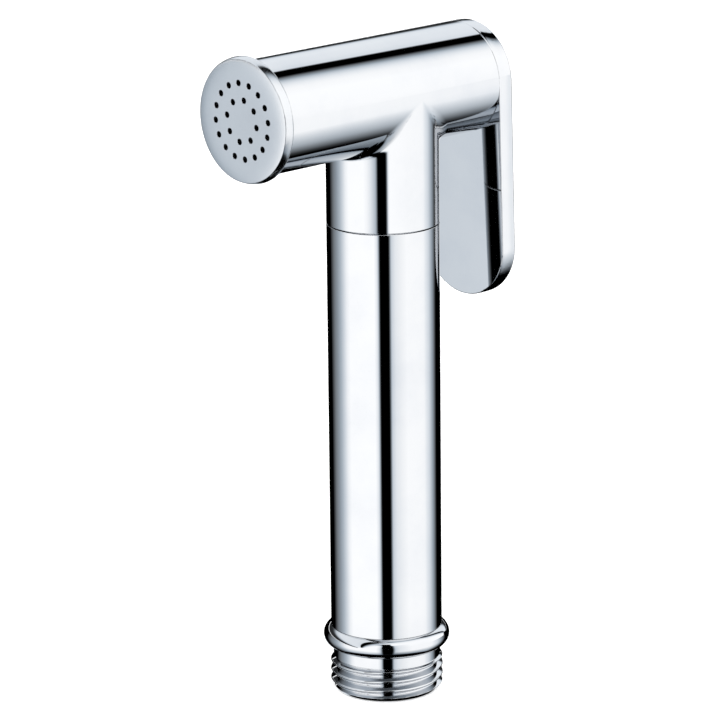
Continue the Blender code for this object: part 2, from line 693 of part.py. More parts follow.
def inlet_connector(material):
    """End fitting: hose thread with a chamfered start, relief groove, bead and spigot, all on one bore."""
    bm = bmesh.new()
    count = BODY_SEGMENTS
    per_turn = len(THREAD_SECTION)
    rows = per_turn * (math.ceil(THREAD_LENGTH / THREAD_PITCH) + 2)

    def column(k, outline):
        turn = math.tau * k / count
        return [bm.verts.new((r * math.cos(turn), r * math.sin(turn), z)) for r, z in outline]

    def strip(left, right):
        for k in range(min(len(left), len(right)) - 1):
            bm.faces.new((left[k], right[k], right[k + 1], left[k + 1]))

    threads = [column(k, [thread_point(k / count, row) for row in range(rows)]) for k in range(count)]
    for left, right in zip(threads, threads[1:]):
        strip(left, right)
    strip(threads[-1], threads[0][per_turn:])

    end = math.degrees(math.acos((BODY_RADIUS - BEAD_CIRCLE) / BEAD_SECTION))
    outline = [(RELIEF_RADIUS, THREAD_LENGTH), (RELIEF_RADIUS, BEAD_BOTTOM)]
    outline += arc((BEAD_CIRCLE, BEAD_CENTRE), BEAD_SECTION, -90, end, BEAD_STEPS)
    outline += spigot_outline(SHOULDER, 1, SPIGOT_BORE)
    outline += [
        (SPIGOT_BORE, INLET_BORE_DEPTH),
        (INLET_BORE, INLET_BORE_DEPTH),
        (INLET_BORE, 0),
        (THREAD_RADIUS - THREAD_DEPTH, 0),
    ]
    sections = [column(k, outline) for k in range(count)]
    for left, right in zip(sections, sections[1:] + sections[:1]):
        strip(left, right)
    return make_object("inlet_connector", bm, material)


def handle_tube(material):
    """Plain tube between the bead's shoulder and the neck."""
    bottom = SHOULDER + SEAT_GAP
    outline = [
        (TUBE_BORE, bottom),
        (BODY_RADIUS - EDGE, bottom),
        (BODY_RADIUS, bottom + EDGE),
        (BODY_RADIUS, SEAM_HEIGHT - EDGE),
        (BODY_RADIUS - EDGE, SEAM_HEIGHT),
        (TUBE_BORE, SEAM_HEIGHT),
    ]
    return turned("handle_tube", outline, BODY_SEGMENTS, material)


def check_valve_body(material):
    """Cartridge with a conical seat, a seal groove and a ribbed hub that guides the poppet."""
    floor = INLET_BORE - CHECK_SEAL - 2 * SEAL_GAP
    half = CHECK_SEAL / 2 + GROOVE_SIDE / 2
    seal = CHECK_RECESS + CHECK_SEAL_OFFSET
    outline = [
        (CHECK_PORT, CHECK_RECESS),
        (CHECK_RADIUS, CHECK_RECESS),
        (CHECK_RADIUS, seal - half),
        (floor, seal - half),
        (floor, seal + half),
        (CHECK_RADIUS, seal + half),
        (CHECK_RADIUS, CHECK_TOP),
        (CHECK_BORE, CHECK_TOP),
        (CHECK_BORE, CHECK_SEAT + CHECK_BORE - CHECK_PORT),
        (CHECK_PORT, CHECK_SEAT),
    ]
    body = turned("check_valve_body", outline, SMALL_SEGMENTS, material)
    hub = [(0, CHECK_HUB_BOTTOM), (CHECK_HUB_RADIUS, CHECK_HUB_BOTTOM)]
    hub += [(CHECK_HUB_RADIUS, CHECK_TOP), (0, CHECK_TOP)]
    combine(body, turned("guide_hub", hub, PIN_SEGMENTS), "UNION")
    reach = (CHECK_BORE + CHECK_RADIUS) / 2
    for k in range(CHECK_RIBS):
        low = (CHECK_HUB_RADIUS / 2, -CHECK_RIB_WIDTH / 2, CHECK_HUB_BOTTOM + EDGE)
        high = (reach, CHECK_RIB_WIDTH / 2, CHECK_TOP - EDGE)
        rib = block("guide_rib_%d" % (k + 1), low, high)
        rib.rotation_euler = (0, 0, math.tau * k / CHECK_RIBS)
        combine(body, rib, "UNION")
    guide = CHECK_STEM_RADIUS + SEAT_GAP
    hole = [(0, CHECK_HUB_BOTTOM - EDGE), (guide, CHECK_HUB_BOTTOM - EDGE)]
    hole += [(guide, CHECK_TOP + EDGE), (0, CHECK_TOP + EDGE)]
    combine(body, turned("guide_hole", hole, PIN_SEGMENTS), "DIFFERENCE")
    return body


def check_head():
    """Bottom and top heights of the poppet's conical head, clear of the seat all the way round."""
    slant = math.sqrt(2) * SEAT_GAP
    rim = CHECK_SEAT + CHECK_POPPET_RADIUS - CHECK_PORT + slant
    nose = min(CHECK_LIP, CHECK_POPPET_RADIUS - CHECK_STEM_RADIUS - EDGE)
    return rim - nose, rim, rim + CHECK_POPPET_RIM, CHECK_POPPET_RADIUS - nose


def check_valve_poppet(material):
    """Poppet with a conical head and a guide stem."""
    bottom, rim, top, nose_radius = check_head()
    outline = [
        (0, bottom),
        (nose_radius, bottom),
        (CHECK_POPPET_RADIUS, rim),
        (CHECK_POPPET_RADIUS, top),
        (CHECK_STEM_RADIUS, top),
        (CHECK_STEM_RADIUS, CHECK_TOP),
        (0, CHECK_TOP),
    ]
    return turned("check_valve_poppet", outline, PIN_SEGMENTS, material)


def build():
    """Makes every piece of the shower."""
    clear_scene()
    chrome = finish_material("polished_chrome", (0.80, 0.82, 0.85), 1.0, 0.05)
    satin = finish_material("satin_chrome", (0.72, 0.74, 0.78), 1.0, 0.22)
    brass = finish_material("brass", (0.72, 0.55, 0.28), 1.0, 0.3)
    rubber = finish_material("nitrile_rubber", (0.03, 0.03, 0.03), 0.0, 0.6)
    steel = finish_material("spring_steel", (0.60, 0.61, 0.62), 1.0, 0.3)
    acetal = finish_material("acetal", (0.85, 0.85, 0.82), 0.0, 0.4)

    head_body(chrome)
    spray_cap(satin)
    spigot = CAP_BORE - SEAT_GAP
    front = CAP_SHOULDER - SEAT_GAP - CAP_WASHER
    back = CAP_SHOULDER - SEAT_GAP
    along_head(washer("spray_cap_washer", spigot - CAP_WALL, spigot, front, back, rubber))

    valve_stem(brass)
    hole = SCREW_RADIUS + SEAT_GAP
    rim = DISC_RADIUS - DISC_RIM - SEAT_GAP
    along_head(washer("seat_washer", hole, rim, WASHER_FRONT, WASHER_BACK, rubber))
    seat_washer_screw(steel)
    low = DISC_BACK + SEAT_GAP
    high = GLAND_FRONT - SEAT_GAP
    along_head(coil_spring("valve_spring", VALVE_SPRING_RADIUS, VALVE_WIRE, low, high, VALVE_TURNS, steel))
    set_origin(cross_pin("stem_link_pin", LINK, PIN_RADIUS, LUG_OUTER, steel), LINK)

    gland_nut(brass)
    inner = GLAND_BORE - BODY_SEAL - SEAL_GAP
    station = GLAND_FRONT + GLAND_SEAL_OFFSET
    along_head(o_ring("gland_o_ring", inner, inner + BODY_SEAL, station, BODY_SEAL, rubber))
    inner = STEM_RADIUS + SEAL_GAP
    for name, offset in zip(("stem_o_ring_front", "stem_o_ring_rear"), STEM_SEAL_OFFSETS):
        along_head(o_ring(name, inner, inner + STEM_SEAL, GLAND_FRONT + offset, STEM_SEAL, rubber))

    lever(chrome)
    set_origin(cross_pin("lever_pivot_pin", PIVOT, PIN_RADIUS, LUG_OUTER, steel), PIVOT)

    handle_tube(chrome)
    inner = TUBE_BORE - BODY_SEAL - SEAL_GAP
    outer = TUBE_BORE - SEAL_GAP
    o_ring("neck_o_ring", inner, outer, NECK_BOTTOM - SPIGOT_SEAL_OFFSET, BODY_SEAL, rubber)
    inlet_connector(chrome)
    o_ring("inlet_o_ring", inner, outer, SHOULDER + SPIGOT_SEAL_OFFSET, BODY_SEAL, rubber)

    check_valve_body(acetal)
    outer = INLET_BORE - SEAL_GAP
    height = CHECK_RECESS + CHECK_SEAL_OFFSET
    o_ring("check_valve_o_ring", outer - CHECK_SEAL, outer, height, CHECK_SEAL, rubber)
    check_valve_poppet(acetal)
    low = check_head()[2] + SEAT_GAP
    high = CHECK_HUB_BOTTOM - SEAT_GAP
    coil_spring("check_valve_spring", CHECK_SPRING_RADIUS, CHECK_WIRE, low, high, CHECK_TURNS, steel)


build()
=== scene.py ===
"""Handheld bidet shower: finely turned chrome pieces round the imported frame, in a pale studio.

Lengths in this file are millimetres until a mesh is made. +Z runs up the handle, -Y is the
direction of the spray and +Y is the lever's side, as in the frame.
"""

import json
import math

import bmesh
import bpy
from mathutils import Matrix, Vector

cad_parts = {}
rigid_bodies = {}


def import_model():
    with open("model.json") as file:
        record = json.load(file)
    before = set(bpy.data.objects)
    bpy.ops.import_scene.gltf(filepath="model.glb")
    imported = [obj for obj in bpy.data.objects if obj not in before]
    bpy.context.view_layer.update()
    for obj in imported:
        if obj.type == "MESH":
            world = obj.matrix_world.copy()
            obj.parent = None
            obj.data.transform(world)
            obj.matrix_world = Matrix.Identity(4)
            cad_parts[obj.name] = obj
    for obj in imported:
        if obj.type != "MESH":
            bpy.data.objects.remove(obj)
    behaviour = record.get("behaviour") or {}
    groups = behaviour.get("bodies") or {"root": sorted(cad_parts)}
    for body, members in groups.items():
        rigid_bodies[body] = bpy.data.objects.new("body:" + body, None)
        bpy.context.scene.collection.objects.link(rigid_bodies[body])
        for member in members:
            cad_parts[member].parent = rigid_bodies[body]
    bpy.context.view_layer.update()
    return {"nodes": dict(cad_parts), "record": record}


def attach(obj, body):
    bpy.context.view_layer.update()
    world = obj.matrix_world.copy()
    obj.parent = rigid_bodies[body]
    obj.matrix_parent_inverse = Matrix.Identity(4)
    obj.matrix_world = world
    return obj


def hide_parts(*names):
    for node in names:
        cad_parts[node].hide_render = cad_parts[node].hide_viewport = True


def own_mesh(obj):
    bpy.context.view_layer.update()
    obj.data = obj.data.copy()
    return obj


MM = 0.001

# Flats round the turned pieces, the small ones and the drills
ROUND = 192
SMALL_ROUND = 64
HOLE_ROUND = 28

# Sizes of the frame that the fine pieces share
BODY_RADIUS = 10.35
TUBE_BORE = 9.15
SPIGOT_RADIUS = 8.85
SPIGOT_BORE = 5.5
SPIGOT_LENGTH = 11.0
SEAM_HEIGHT = 89.2
SEAM_GAP = 0.3
SHOULDER = 12.41
THREAD_RADIUS = 10.478
THREAD_ROOT = 9.316
THREAD_PITCH = 1.814
THREAD_LENGTH = 6.5
RELIEF_RADIUS = 9.95
INLET_BORE = 6.6
INLET_DEPTH = 11.3
HEAD_AXIS = 113.3
SPRAY_REACH = 34.4
REAR_REACH = 20.15
FLANGE_BACK = -32.4
HOLE_RADIUS = 0.57
LEVER_THICKNESS = 3.45
LEVER_TIP = 71.85
PIVOT = Vector((0.0, 17.4, 107.297))
LEVER_TRAVEL = 14.0
LEVER_LEAN = 1.6
LEAN_SLOPE = math.tan(math.radians(LEVER_LEAN))

# Bead of the end fitting, as proud as the frame's but of a fuller round
BEAD_CIRCLE = 9.75
BEAD_SECTION = 2.0
BEAD_CENTRE = 10.5

# Hairline joints between the fine pieces
HAIRLINE = 0.045
SOFT_EDGE = 0.08

# Spigots: seal groove from the shoulder and below the tube's bore, and the chamfer at the end
GROOVE_PLACE = 4.0
GROOVE_DEPTH = 1.7
CHAMFER = 0.25

# Stepped bores of the head, from the spray's side to the lever's
CAP_BORE = 8.9
CAP_SHOULDER = -24.9
WATER_BORE = 7.4
SEAT_FRONT = -14.0
SEAT_BORE = 3.6
SEAT_REAR = -11.5
SEAT_LIP = 4.4
SEAT_FOOT = 4.75
SEAT_FLOOR = -12.2
VALVE_BORE = 7.0
GLAND_SHOULDER = 7.2
GLAND_BORE = 8.6

# Spray cap: spigot, bore, wall and washer, and the rings of holes as (count, circle, first angle)
CAP_SPIGOT = 8.6
CAP_HOLLOW = 7.6
CAP_WALL = 1.6
CAP_WASHER = 1.1
SEAT_GAP = 0.3
SPRAY_RINGS = ((16, 6.78, -5.7), (8, 3.82, 9.8))

# Radius of the blend of the neck and the spray tube, in the corner and at the sides
FILLET_CROTCH = 0.75
FILLET_SIDE = 8.5
FILLET_STEPS = 16

# Thread: turn at which its crest starts, slope of its lead-in, and length of its run-out
THREAD_PHASE = 0.35
THREAD_LEAD_IN = 1.05
THREAD_RUN_OUT = 0.35

# Springs: coil as (radius, wire, turns), and the places of the moving and the fixed end
VALVE_COIL, VALVE_ENDS = (3.2, 0.8, 6.5), (-6.95, 7.2)
CHECK_COIL, CHECK_ENDS = (2.0, 0.5, 4.5), (4.6, 9.5)
VALVE_TRAVEL, CHECK_TRAVEL = 1.6, 2.0
CLOSED_TURN_GAP = 0.1

# How closely a known normal, or one by rule, has to follow the face's own after a cut
KNOWN_FIT = 0.86
RULE_FIT = 0.97

# Finishes: colour, colour under haze, ripple, buffing, and roughness where clean and hazy
METALS = {
    "polished_chrome": ((0.68, 0.69, 0.705), (0.64, 0.655, 0.68), 0.008, 0.002, 0.015, 0.045),
    "satin_chrome": ((0.66, 0.675, 0.695), (0.62, 0.635, 0.66), 0.01, 0.02, 0.14, 0.19),
    "brass": ((0.72, 0.52, 0.26), (0.6, 0.42, 0.2), 0.02, 0.25, 0.22, 0.4),
    "spring_steel": ((0.6, 0.61, 0.62), (0.52, 0.53, 0.54), 0.02, 0.2, 0.2, 0.34),
}
# Finishes: light and dark colour of the mottling, roughness and depth of the grain
MOULDED = {
    "nitrile_rubber": ((0.035, 0.035, 0.037), (0.018, 0.018, 0.019), 0.55, 0.3),
    "acetal": ((0.86, 0.86, 0.83), (0.8, 0.8, 0.77), 0.38, 0.12),
}

# Studio, from here on in metres. The cards' greys lean to blue, most at one level
CARD_BLUE = 0.13
BLUE_LEVEL = 0.35
BLUE_SPREAD = 0.6
CARD_STRENGTH = 1.45
# Bowl below the object, and the slopes in degrees between which its shade changes
BOWL_RADIUS = 3.0
BOWL_CENTRE = 0.09
BOWL_FADE = (20.0, 46.0)
BOWL_DARK = (47.5, 52.0)
# The tent's stripes slant by this angle in degrees between two places along the head
TENT_SLANT = 6.6
TENT_FRONT = 0.283
TENT_REAR = 0.357
TENT_RADIUS = 0.35
TENT_HALF_LENGTH = 2.6
# Flag beside the camera: distance, half width in degrees, and heights of its edges
FLAG_DISTANCE = 0.3
FLAG_HALF_ANGLE = 9
FLAG_HEIGHTS = (0.09, 0.37)
LAMP_AIM = Vector((0, 0, 0.06))

# Camera as fitted to the photograph, with its focal length and shifts in pixels
PHOTO_WIDTH = 720
SENSOR_WIDTH = 36.0
CAMERA_AZIMUTH = 45.54
CAMERA_ELEVATION = 15.43
CAMERA_ROLL = -0.51
CAMERA_FOCUS = 4079.27
CAMERA_SHIFT = (-24.22, 3.6)
CAMERA_AIM = Vector((0, 0, 0.0625))
CAMERA_DISTANCE = 0.75


def straight(*points):
    """Pieces of a half section between corners, as (point, normal) pairs, flat along each."""
    runs = []
    for (r0, z0), (r1, z1) in zip(points, points[1:]):
        length = math.hypot(r1 - r0, z1 - z0)
        normal = ((z1 - z0) / length, (r0 - r1) / length)
        runs.append((((r0, z0), normal), ((r1, z1), normal)))
    return runs


def rounded(centre, radius, start, end, steps):
    """Pieces of a half section round an arc, with angles in degrees from the outward direction."""
    runs = []
    side = 1 if end > start else -1
    angles = [math.radians(start + (end - start) * k / steps) for k in range(steps + 1)]
    for pair in zip(angles, angles[1:]):
        ends = []
        for a in pair:
            point = (centre[0] + radius * math.cos(a), centre[1] + radius * math.sin(a))
            ends.append((point, (side * math.cos(a), side * math.sin(a))))
        runs.append(tuple(ends))
    return runs


def joined(*parts):
    """One half section from several, with straight pieces across any gap between them."""
    runs = []
    for part in parts:
        if runs:
            last, first = runs[-1][1][0], part[0][0][0]
            if math.dist(last, first) > 1e-6:
                runs += straight(last, first)
        runs += part
    return runs


def is_flat_end(run):
    """Whether a piece of a half section runs straight in to the axis."""
    (r0, z0), (r1, z1) = run[0][0], run[1][0]
    return min(r0, r1) == 0 and z0 == z1


def turned(runs, count=ROUND):
    """Faces turned about Z, as lists of (point, normal) corners. A flat end is one face."""
    faces = []
    angles = [math.tau * k / count for k in range(count)]
    turns = [(math.cos(a), math.sin(a)) for a in angles]
    ends = [run for run in runs if is_flat_end(run)]
    runs = [run for run in runs if not is_flat_end(run)]
    for (p, n), (q, m) in ends:
        reach = max(p[0], q[0])
        faces.append([((reach * c, reach * s, p[1]), (0, 0, n[1])) for c, s in turns])
    for k in range(count):
        c0, s0 = turns[k]
        c1, s1 = turns[(k + 1) % count]
        for (p, n), (q, m) in runs:
            faces.append(
                [
                    ((p[0] * c0, p[0] * s0, p[1]), (n[0] * c0, n[0] * s0, n[1])),
                    ((p[0] * c1, p[0] * s1, p[1]), (n[0] * c1, n[0] * s1, n[1])),
                    ((q[0] * c1, q[0] * s1, q[1]), (m[0] * c1, m[0] * s1, m[1])),
                    ((q[0] * c0, q[0] * s0, q[1]), (m[0] * c0, m[0] * s0, m[1])),
                ]
            )
    return faces


def along_head(faces):
    """Turns faces made about Z so that they lie about the head's axis."""
    return [
        [((x, z, HEAD_AXIS - y), (nx, nz, -ny)) for (x, y, z), (nx, ny, nz) in face]
        for face in faces
    ]


def key_of(point):
    """A point rounded, so that corners that meet have one key."""
    return tuple(round(c, 4) for c in point)


def add_object(name, data):
    """Puts a mesh, lamp or camera into the scene."""
    made = bpy.data.objects.new(name, data)
    bpy.context.scene.collection.objects.link(made)
    return made


def skin(name, faces):
    """A mesh whose faces keep their own exact normals. Corners that meet share one vertex."""
    index, points, polygons, normals = {}, [], [], []
    for face in faces:
        ring, dirs = [], []
        for point, normal in face:
            key = key_of(point)
            if key not in index:
                index[key] = len(points)
                points.append([c * MM for c in point])
            if index[key] not in ring:
                ring.append(index[key])
                dirs.append(Vector(normal))
        if len(ring) < 3:
            continue
        around = [Vector(points[i]) for i in ring]
        facing = sum((a.cross(b) for a, b in zip(around, around[1:] + around[:1])), Vector())
        if facing.dot(sum(dirs, Vector())) < 0:
            ring.reverse()
            dirs.reverse()
        polygons.append(ring)
        normals += [d.normalized() for d in dirs]
    mesh = bpy.data.meshes.new(name)
    mesh.from_pydata(points, [], polygons)
    mesh.shade_smooth()
    mesh.normals_split_custom_set(normals)
    return add_object(name, mesh)


def known_normals(*groups):
    """The exact normals at each corner point of some faces, for use after a cut."""
    known = {}
    for faces in groups:
        for face in faces:
            for point, normal in face:
                known.setdefault(key_of(point), []).append(Vector(normal).normalized())
    return known


def about_axes(point):
    """Directions straight out from the head's axis and from the handle's axis."""
    x, y, z = point
    for across in (Vector((x, 0, z - HEAD_AXIS)), Vector((x, y, 0))):
        if across.length > 1e-6:
            yield across.normalized()


def face_outwards(piece):
    """Turns every face of a closed mesh outwards."""
    bm = bmesh.new()
    bm.from_mesh(piece.data)
    bmesh.ops.recalc_face_normals(bm, faces=bm.faces)
    bm.to_mesh(piece.data)
    bm.free()


def cut(piece, tools, known, rule=about_axes):
    """Cuts or joins tools with the Boolean modifier, then gives the result its exact normals."""
    face_outwards(piece)
    for tool, operation in tools:
        face_outwards(tool)
        modifier = piece.modifiers.new(tool.name, "BOOLEAN")
        modifier.operation = operation
        modifier.object = tool
        modifier.solver = "EXACT"
        graph = bpy.context.evaluated_depsgraph_get()
        mesh = bpy.data.meshes.new_from_object(piece.evaluated_get(graph))
        piece.modifiers.clear()
        piece.data = mesh
        bpy.data.objects.remove(tool, do_unlink=True)
    mesh.name = piece.name
    mesh.shade_smooth()
    points = [v.co / MM for v in mesh.vertices]
    normals = []
    for polygon in mesh.polygons:
        flat = polygon.normal
        for i in polygon.vertices:
            best = flat
            exact = known.get(key_of(points[i]), ())
            for group, least in ((exact, KNOWN_FIT), (rule(points[i]), RULE_FIT)):
                close = [(abs(n.dot(flat)), n) for n in group]
                fit, nearest = max(close, key=lambda pair: pair[0], default=(0.0, flat))
                if fit > least:
                    best = nearest if nearest.dot(flat) > 0 else -nearest
                    break
            normals.append(best)
    mesh.normals_split_custom_set(normals)
    return piece


def block(name, low, high):
    """A box between two corners, for cutting."""
    bm = bmesh.new()
    bmesh.ops.create_cube(bm, size=1.0)
    size = Vector(high) - Vector(low)
    middle = (Vector(high) + Vector(low)) / 2
    for v in bm.verts:
        v.co = Vector((v.co.x * size.x, v.co.y * size.y, v.co.z * size.z)) * MM + middle * MM
    mesh = bpy.data.meshes.new(name)
    bm.to_mesh(mesh)
    bm.free()
    return add_object(name, mesh)


def prism_faces(outline, low, high):
    """Faces of a solid with an outline of (Y, Z, normal Y, normal Z) points, extruded along X."""
    faces = []
    for (y0, z0, a0, b0), (y1, z1, a1, b1) in zip(outline, outline[1:] + outline[:1]):
        faces.append(
            [
                ((low, y0, z0), (0, a0, b0)),
                ((low, y1, z1), (0, a1, b1)),
                ((high, y1, z1), (0, a1, b1)),
                ((high, y0, z0), (0, a0, b0)),
            ]
        )
    for x, side in ((low, -1), (high, 1)):
        faces.append([((x, y, z), (side, 0, 0)) for y, z, a, b in outline])
    return faces


def spigot(start, side, bore):
    """Half section of a hidden spigot with its seal groove, from its shoulder to its end."""
    groove = start + side * GROOVE_PLACE
    floor = TUBE_BORE - GROOVE_DEPTH
    end = start + side * SPIGOT_LENGTH
    return [
        (SPIGOT_RADIUS, start),
        (SPIGOT_RADIUS, groove - side),
        (floor, groove - side),
        (floor, groove + side),
        (SPIGOT_RADIUS, groove + side),
        (SPIGOT_RADIUS, end - side * CHAMFER),
        (SPIGOT_RADIUS - CHAMFER, end),
        (bore, end),
    ]


def fillet_corner(angle, share):
    """Point and normal of the neck's blend, tight in the corner and wide at the sides."""
    side = Vector((math.cos(angle), math.sin(angle), 0))
    depth = abs(side.y)
    fillet = FILLET_CROTCH + (FILLET_SIDE - FILLET_CROTCH) * (1 - depth)
    reach = BODY_RADIUS + fillet
    centre = Vector((reach * side.x, reach * side.y, HEAD_AXIS - reach * depth))
    upright, level = -side, Vector((-side.x, 0, depth))
    if depth < 1e-6:
        return tuple(centre + fillet * upright), tuple(side)
    eased = share * share * (3 - 2 * share)
    point = centre + fillet * upright.slerp(level, share)
    return tuple(point), tuple(-upright.slerp(level, eased))


def leaning(faces):
    """Faces shifted so that an upright plane leans with the lever about its pivot."""
    return [
        [((x, y - LEAN_SLOPE * (z - PIVOT.z), z), n) for (x, y, z), n in face] for face in faces
    ]


def head_faces(bottom, front, rear):
    """Outside of the head: spray tube and neck of one radius, blended where they meet."""
    half = ROUND // 2
    angles = [math.tau * k / ROUND for k in range(ROUND)]
    lower = spigot(bottom, -1, 0.0)
    faces = turned(
        joined(
            straight(*lower[::-1]),
            straight((SPIGOT_RADIUS, bottom), (BODY_RADIUS - SOFT_EDGE, bottom)),
            rounded((BODY_RADIUS - SOFT_EDGE, bottom + SOFT_EDGE), SOFT_EDGE, -90, 0, 4),
        )
    )

    def tube_corner(k, reach, slope=0.0):
        c, s = math.cos(angles[k % ROUND]), math.sin(angles[k % ROUND])
        height = HEAD_AXIS + BODY_RADIUS * s
        return (BODY_RADIUS * c, reach - slope * (height - PIVOT.z), height), (c, 0, s)

    def onto_tube(k):
        """The corner of the blend and the tube, with the tube's own normal."""
        angle = angles[k % ROUND]
        return fillet_corner(angle, 1.0)[0], (math.cos(angle), 0, -abs(math.sin(angle)))

    def rear_corner(k):
        return tube_corner(k, rear, LEAN_SLOPE)

    foot = bottom + SOFT_EDGE
    for k in range(ROUND):
        here, after = angles[k], angles[(k + 1) % ROUND]
        low = []
        for a in (here, after):
            side = (math.cos(a), math.sin(a), 0)
            low.append(((BODY_RADIUS * side[0], BODY_RADIUS * side[1], foot), side))
        faces.append([low[0], low[1], fillet_corner(after, 0.0), fillet_corner(here, 0.0)])
        for step in range(FILLET_STEPS):
            t0, t1 = step / FILLET_STEPS, (step + 1) / FILLET_STEPS
            corners = ((here, t0), (after, t0), (after, t1), (here, t1))
            faces.append([fillet_corner(angle, share) for angle, share in corners])
    for k in range(half):
        crown = [tube_corner(j, 0.0) for j in (k, k + 1)]
        faces.append([tube_corner(k, front), tube_corner(k + 1, front), crown[1], crown[0]])
        faces.append([crown[0], crown[1], rear_corner(k + 1), rear_corner(k)])
        faces.append([onto_tube(k), onto_tube(k + 1), rear_corner(-k - 1), rear_corner(-k)])
        low = half + k
        under = [tube_corner(low, front), tube_corner(low + 1, front)]
        faces.append([*under, onto_tube(low + 1), onto_tube(low)])
    front_end = joined(
        straight((0, front - SOFT_EDGE), (BODY_RADIUS - SOFT_EDGE, front - SOFT_EDGE)),
        rounded((BODY_RADIUS - SOFT_EDGE, front), SOFT_EDGE, -90, 0, 4),
    )
    rear_end = joined(
        rounded((BODY_RADIUS - SOFT_EDGE, rear), SOFT_EDGE, 0, 90, 4),
        straight((BODY_RADIUS - SOFT_EDGE, rear + SOFT_EDGE), (0, rear + SOFT_EDGE)),
    )
    return faces + along_head(turned(front_end)) + leaning(along_head(turned(rear_end)))


def make_head():
    """The head casting, with its stepped bores, valve seat and the relief under the lever."""
    front = FLANGE_BACK + HAIRLINE + SOFT_EDGE
    rear = REAR_REACH - HAIRLINE - SOFT_EDGE
    outside = head_faces(SEAM_HEIGHT + SEAM_GAP - HAIRLINE, front, rear)
    # Where the cutters end, clear of the casting
    ahead, behind, below = -60, 40, 60
    bores = along_head(
        turned(
            straight(
                (0, ahead),
                (CAP_BORE, ahead),
                (CAP_BORE, CAP_SHOULDER),
                (WATER_BORE, CAP_SHOULDER),
                (WATER_BORE, SEAT_FRONT),
                (SEAT_BORE, SEAT_FRONT),
                (SEAT_BORE, SEAT_REAR),
                (SEAT_LIP, SEAT_REAR),
                (SEAT_FOOT, SEAT_FLOOR),
                (VALVE_BORE, SEAT_FLOOR),
                (VALVE_BORE, GLAND_SHOULDER),
                (GLAND_BORE, GLAND_SHOULDER),
                (GLAND_BORE, behind),
                (0, behind),
            )
        )
    )
    way = straight((0, below), (SPIGOT_BORE, below), (SPIGOT_BORE, HEAD_AXIS), (0, HEAD_AXIS))
    neck = turned(way, SMALL_ROUND)
    # Room about the pivot for the top of the pressed lever
    low, high = (-20, REAR_REACH - PIVOT.y - HAIRLINE, -10.35), (20, 14, 16.35)
    relief = block("lever_relief", low, high)
    relief.location = PIVOT * MM
    relief.rotation_euler = (-math.radians(LEVER_TRAVEL - LEVER_LEAN), 0, 0)
    bpy.context.view_layer.update()
    head = skin("head_casting", outside)
    tools = (skin("stepped_bore", bores), skin("neck_bore", neck), relief)
    cuts = [(tool, "DIFFERENCE") for tool in tools]
    return cut(head, cuts, known_normals(outside, bores, neck))


def make_spray_face():
    """Crowned, flanged spray face with two rings of holes, each with a broken edge."""
    rim_radius, rim_swell, rim_slope = 11.37, 3.3, 24.0
    front_round, back_round = 0.2, 0.4
    back = FLANGE_BACK - back_round
    swell = rounded((rim_radius - rim_swell, back), rim_swell, -rim_slope, 0, 10)
    (swell_r, swell_z), (out, down) = swell[0][0]
    corner = (swell_r - front_round * out, swell_z - front_round * down)
    power, turn_in = 10, 80
    edge = corner[0] + front_round * math.cos(math.radians(turn_in))
    rim = corner[1] - front_round * math.sin(math.radians(turn_in))
    rise = SPRAY_REACH + rim
    spigot_end = CAP_SHOULDER - CAP_WASHER - 2 * SEAT_GAP

    def crown(r):
        return -SPRAY_REACH + rise * (r / edge) ** power

    def crown_normal(r):
        slope = power * rise * r ** (power - 1) / edge**power
        length = math.hypot(slope, 1.0)
        return (slope / length, -1.0 / length)

    rings = 24
    face = []
    for k in range(rings):
        r0, r1 = edge * k / rings, edge * (k + 1) / rings
        face.append((((r0, crown(r0)), crown_normal(r0)), ((r1, crown(r1)), crown_normal(r1))))
    outline = joined(
        face,
        rounded(corner, front_round, -turn_in, -rim_slope, 6),
        swell,
        rounded((rim_radius - back_round, back), back_round, 0, 90, 8),
        straight(
            (rim_radius - back_round, FLANGE_BACK),
            (CAP_SPIGOT, FLANGE_BACK),
            (CAP_SPIGOT, spigot_end - CHAMFER),
            (CAP_SPIGOT - CHAMFER, spigot_end),
            (CAP_HOLLOW, spigot_end),
            (CAP_HOLLOW, -SPRAY_REACH + CAP_WALL),
            (0, -SPRAY_REACH + CAP_WALL),
        ),
    )
    shell = along_head(turned(outline))
    # Each drill is a cone that breaks the hole's edge, and a cylinder through the wall
    ahead, broken, through = 1.0, 0.03, 3.0
    holes = []
    for count, circle, phase in SPRAY_RINGS:
        surface = crown(circle)
        tip, lip, end = surface - ahead, surface + broken, surface + through
        cone = straight((0, tip), (HOLE_RADIUS + ahead + broken, tip), (HOLE_RADIUS, lip))
        shank = straight((HOLE_RADIUS, lip), (HOLE_RADIUS, end), (0, end))
        drill = turned(joined(cone, shank), HOLE_ROUND)
        for k in range(count):
            turn = math.radians(phase - 90 + 360 * k / count)
            dx, dy = circle * math.cos(turn), circle * math.sin(turn)
            holes += [[((x + dx, y + dy, z), n) for (x, y, z), n in face] for face in drill]
    holes = along_head(holes)
    piece = skin("spray_face", shell)
    cuts = [(skin("spray_drill", holes), "DIFFERENCE")]
    return cut(piece, cuts, known_normals(shell, holes), lambda point: ())


def make_tube():
    """Plain handle tube with softened ends."""
    bottom = SHOULDER + HAIRLINE / 2
    top = SEAM_HEIGHT + HAIRLINE
    outline = joined(
        straight((TUBE_BORE, bottom), (BODY_RADIUS - SOFT_EDGE, bottom)),
        rounded((BODY_RADIUS - SOFT_EDGE, bottom + SOFT_EDGE), SOFT_EDGE, -90, 0, 4),
        rounded((BODY_RADIUS - SOFT_EDGE, top - SOFT_EDGE), SOFT_EDGE, 0, 90, 4),
        straight((BODY_RADIUS - SOFT_EDGE, top), (TUBE_BORE, top), (TUBE_BORE, bottom)),
    )
    return skin("tube_sleeve", turned(outline))


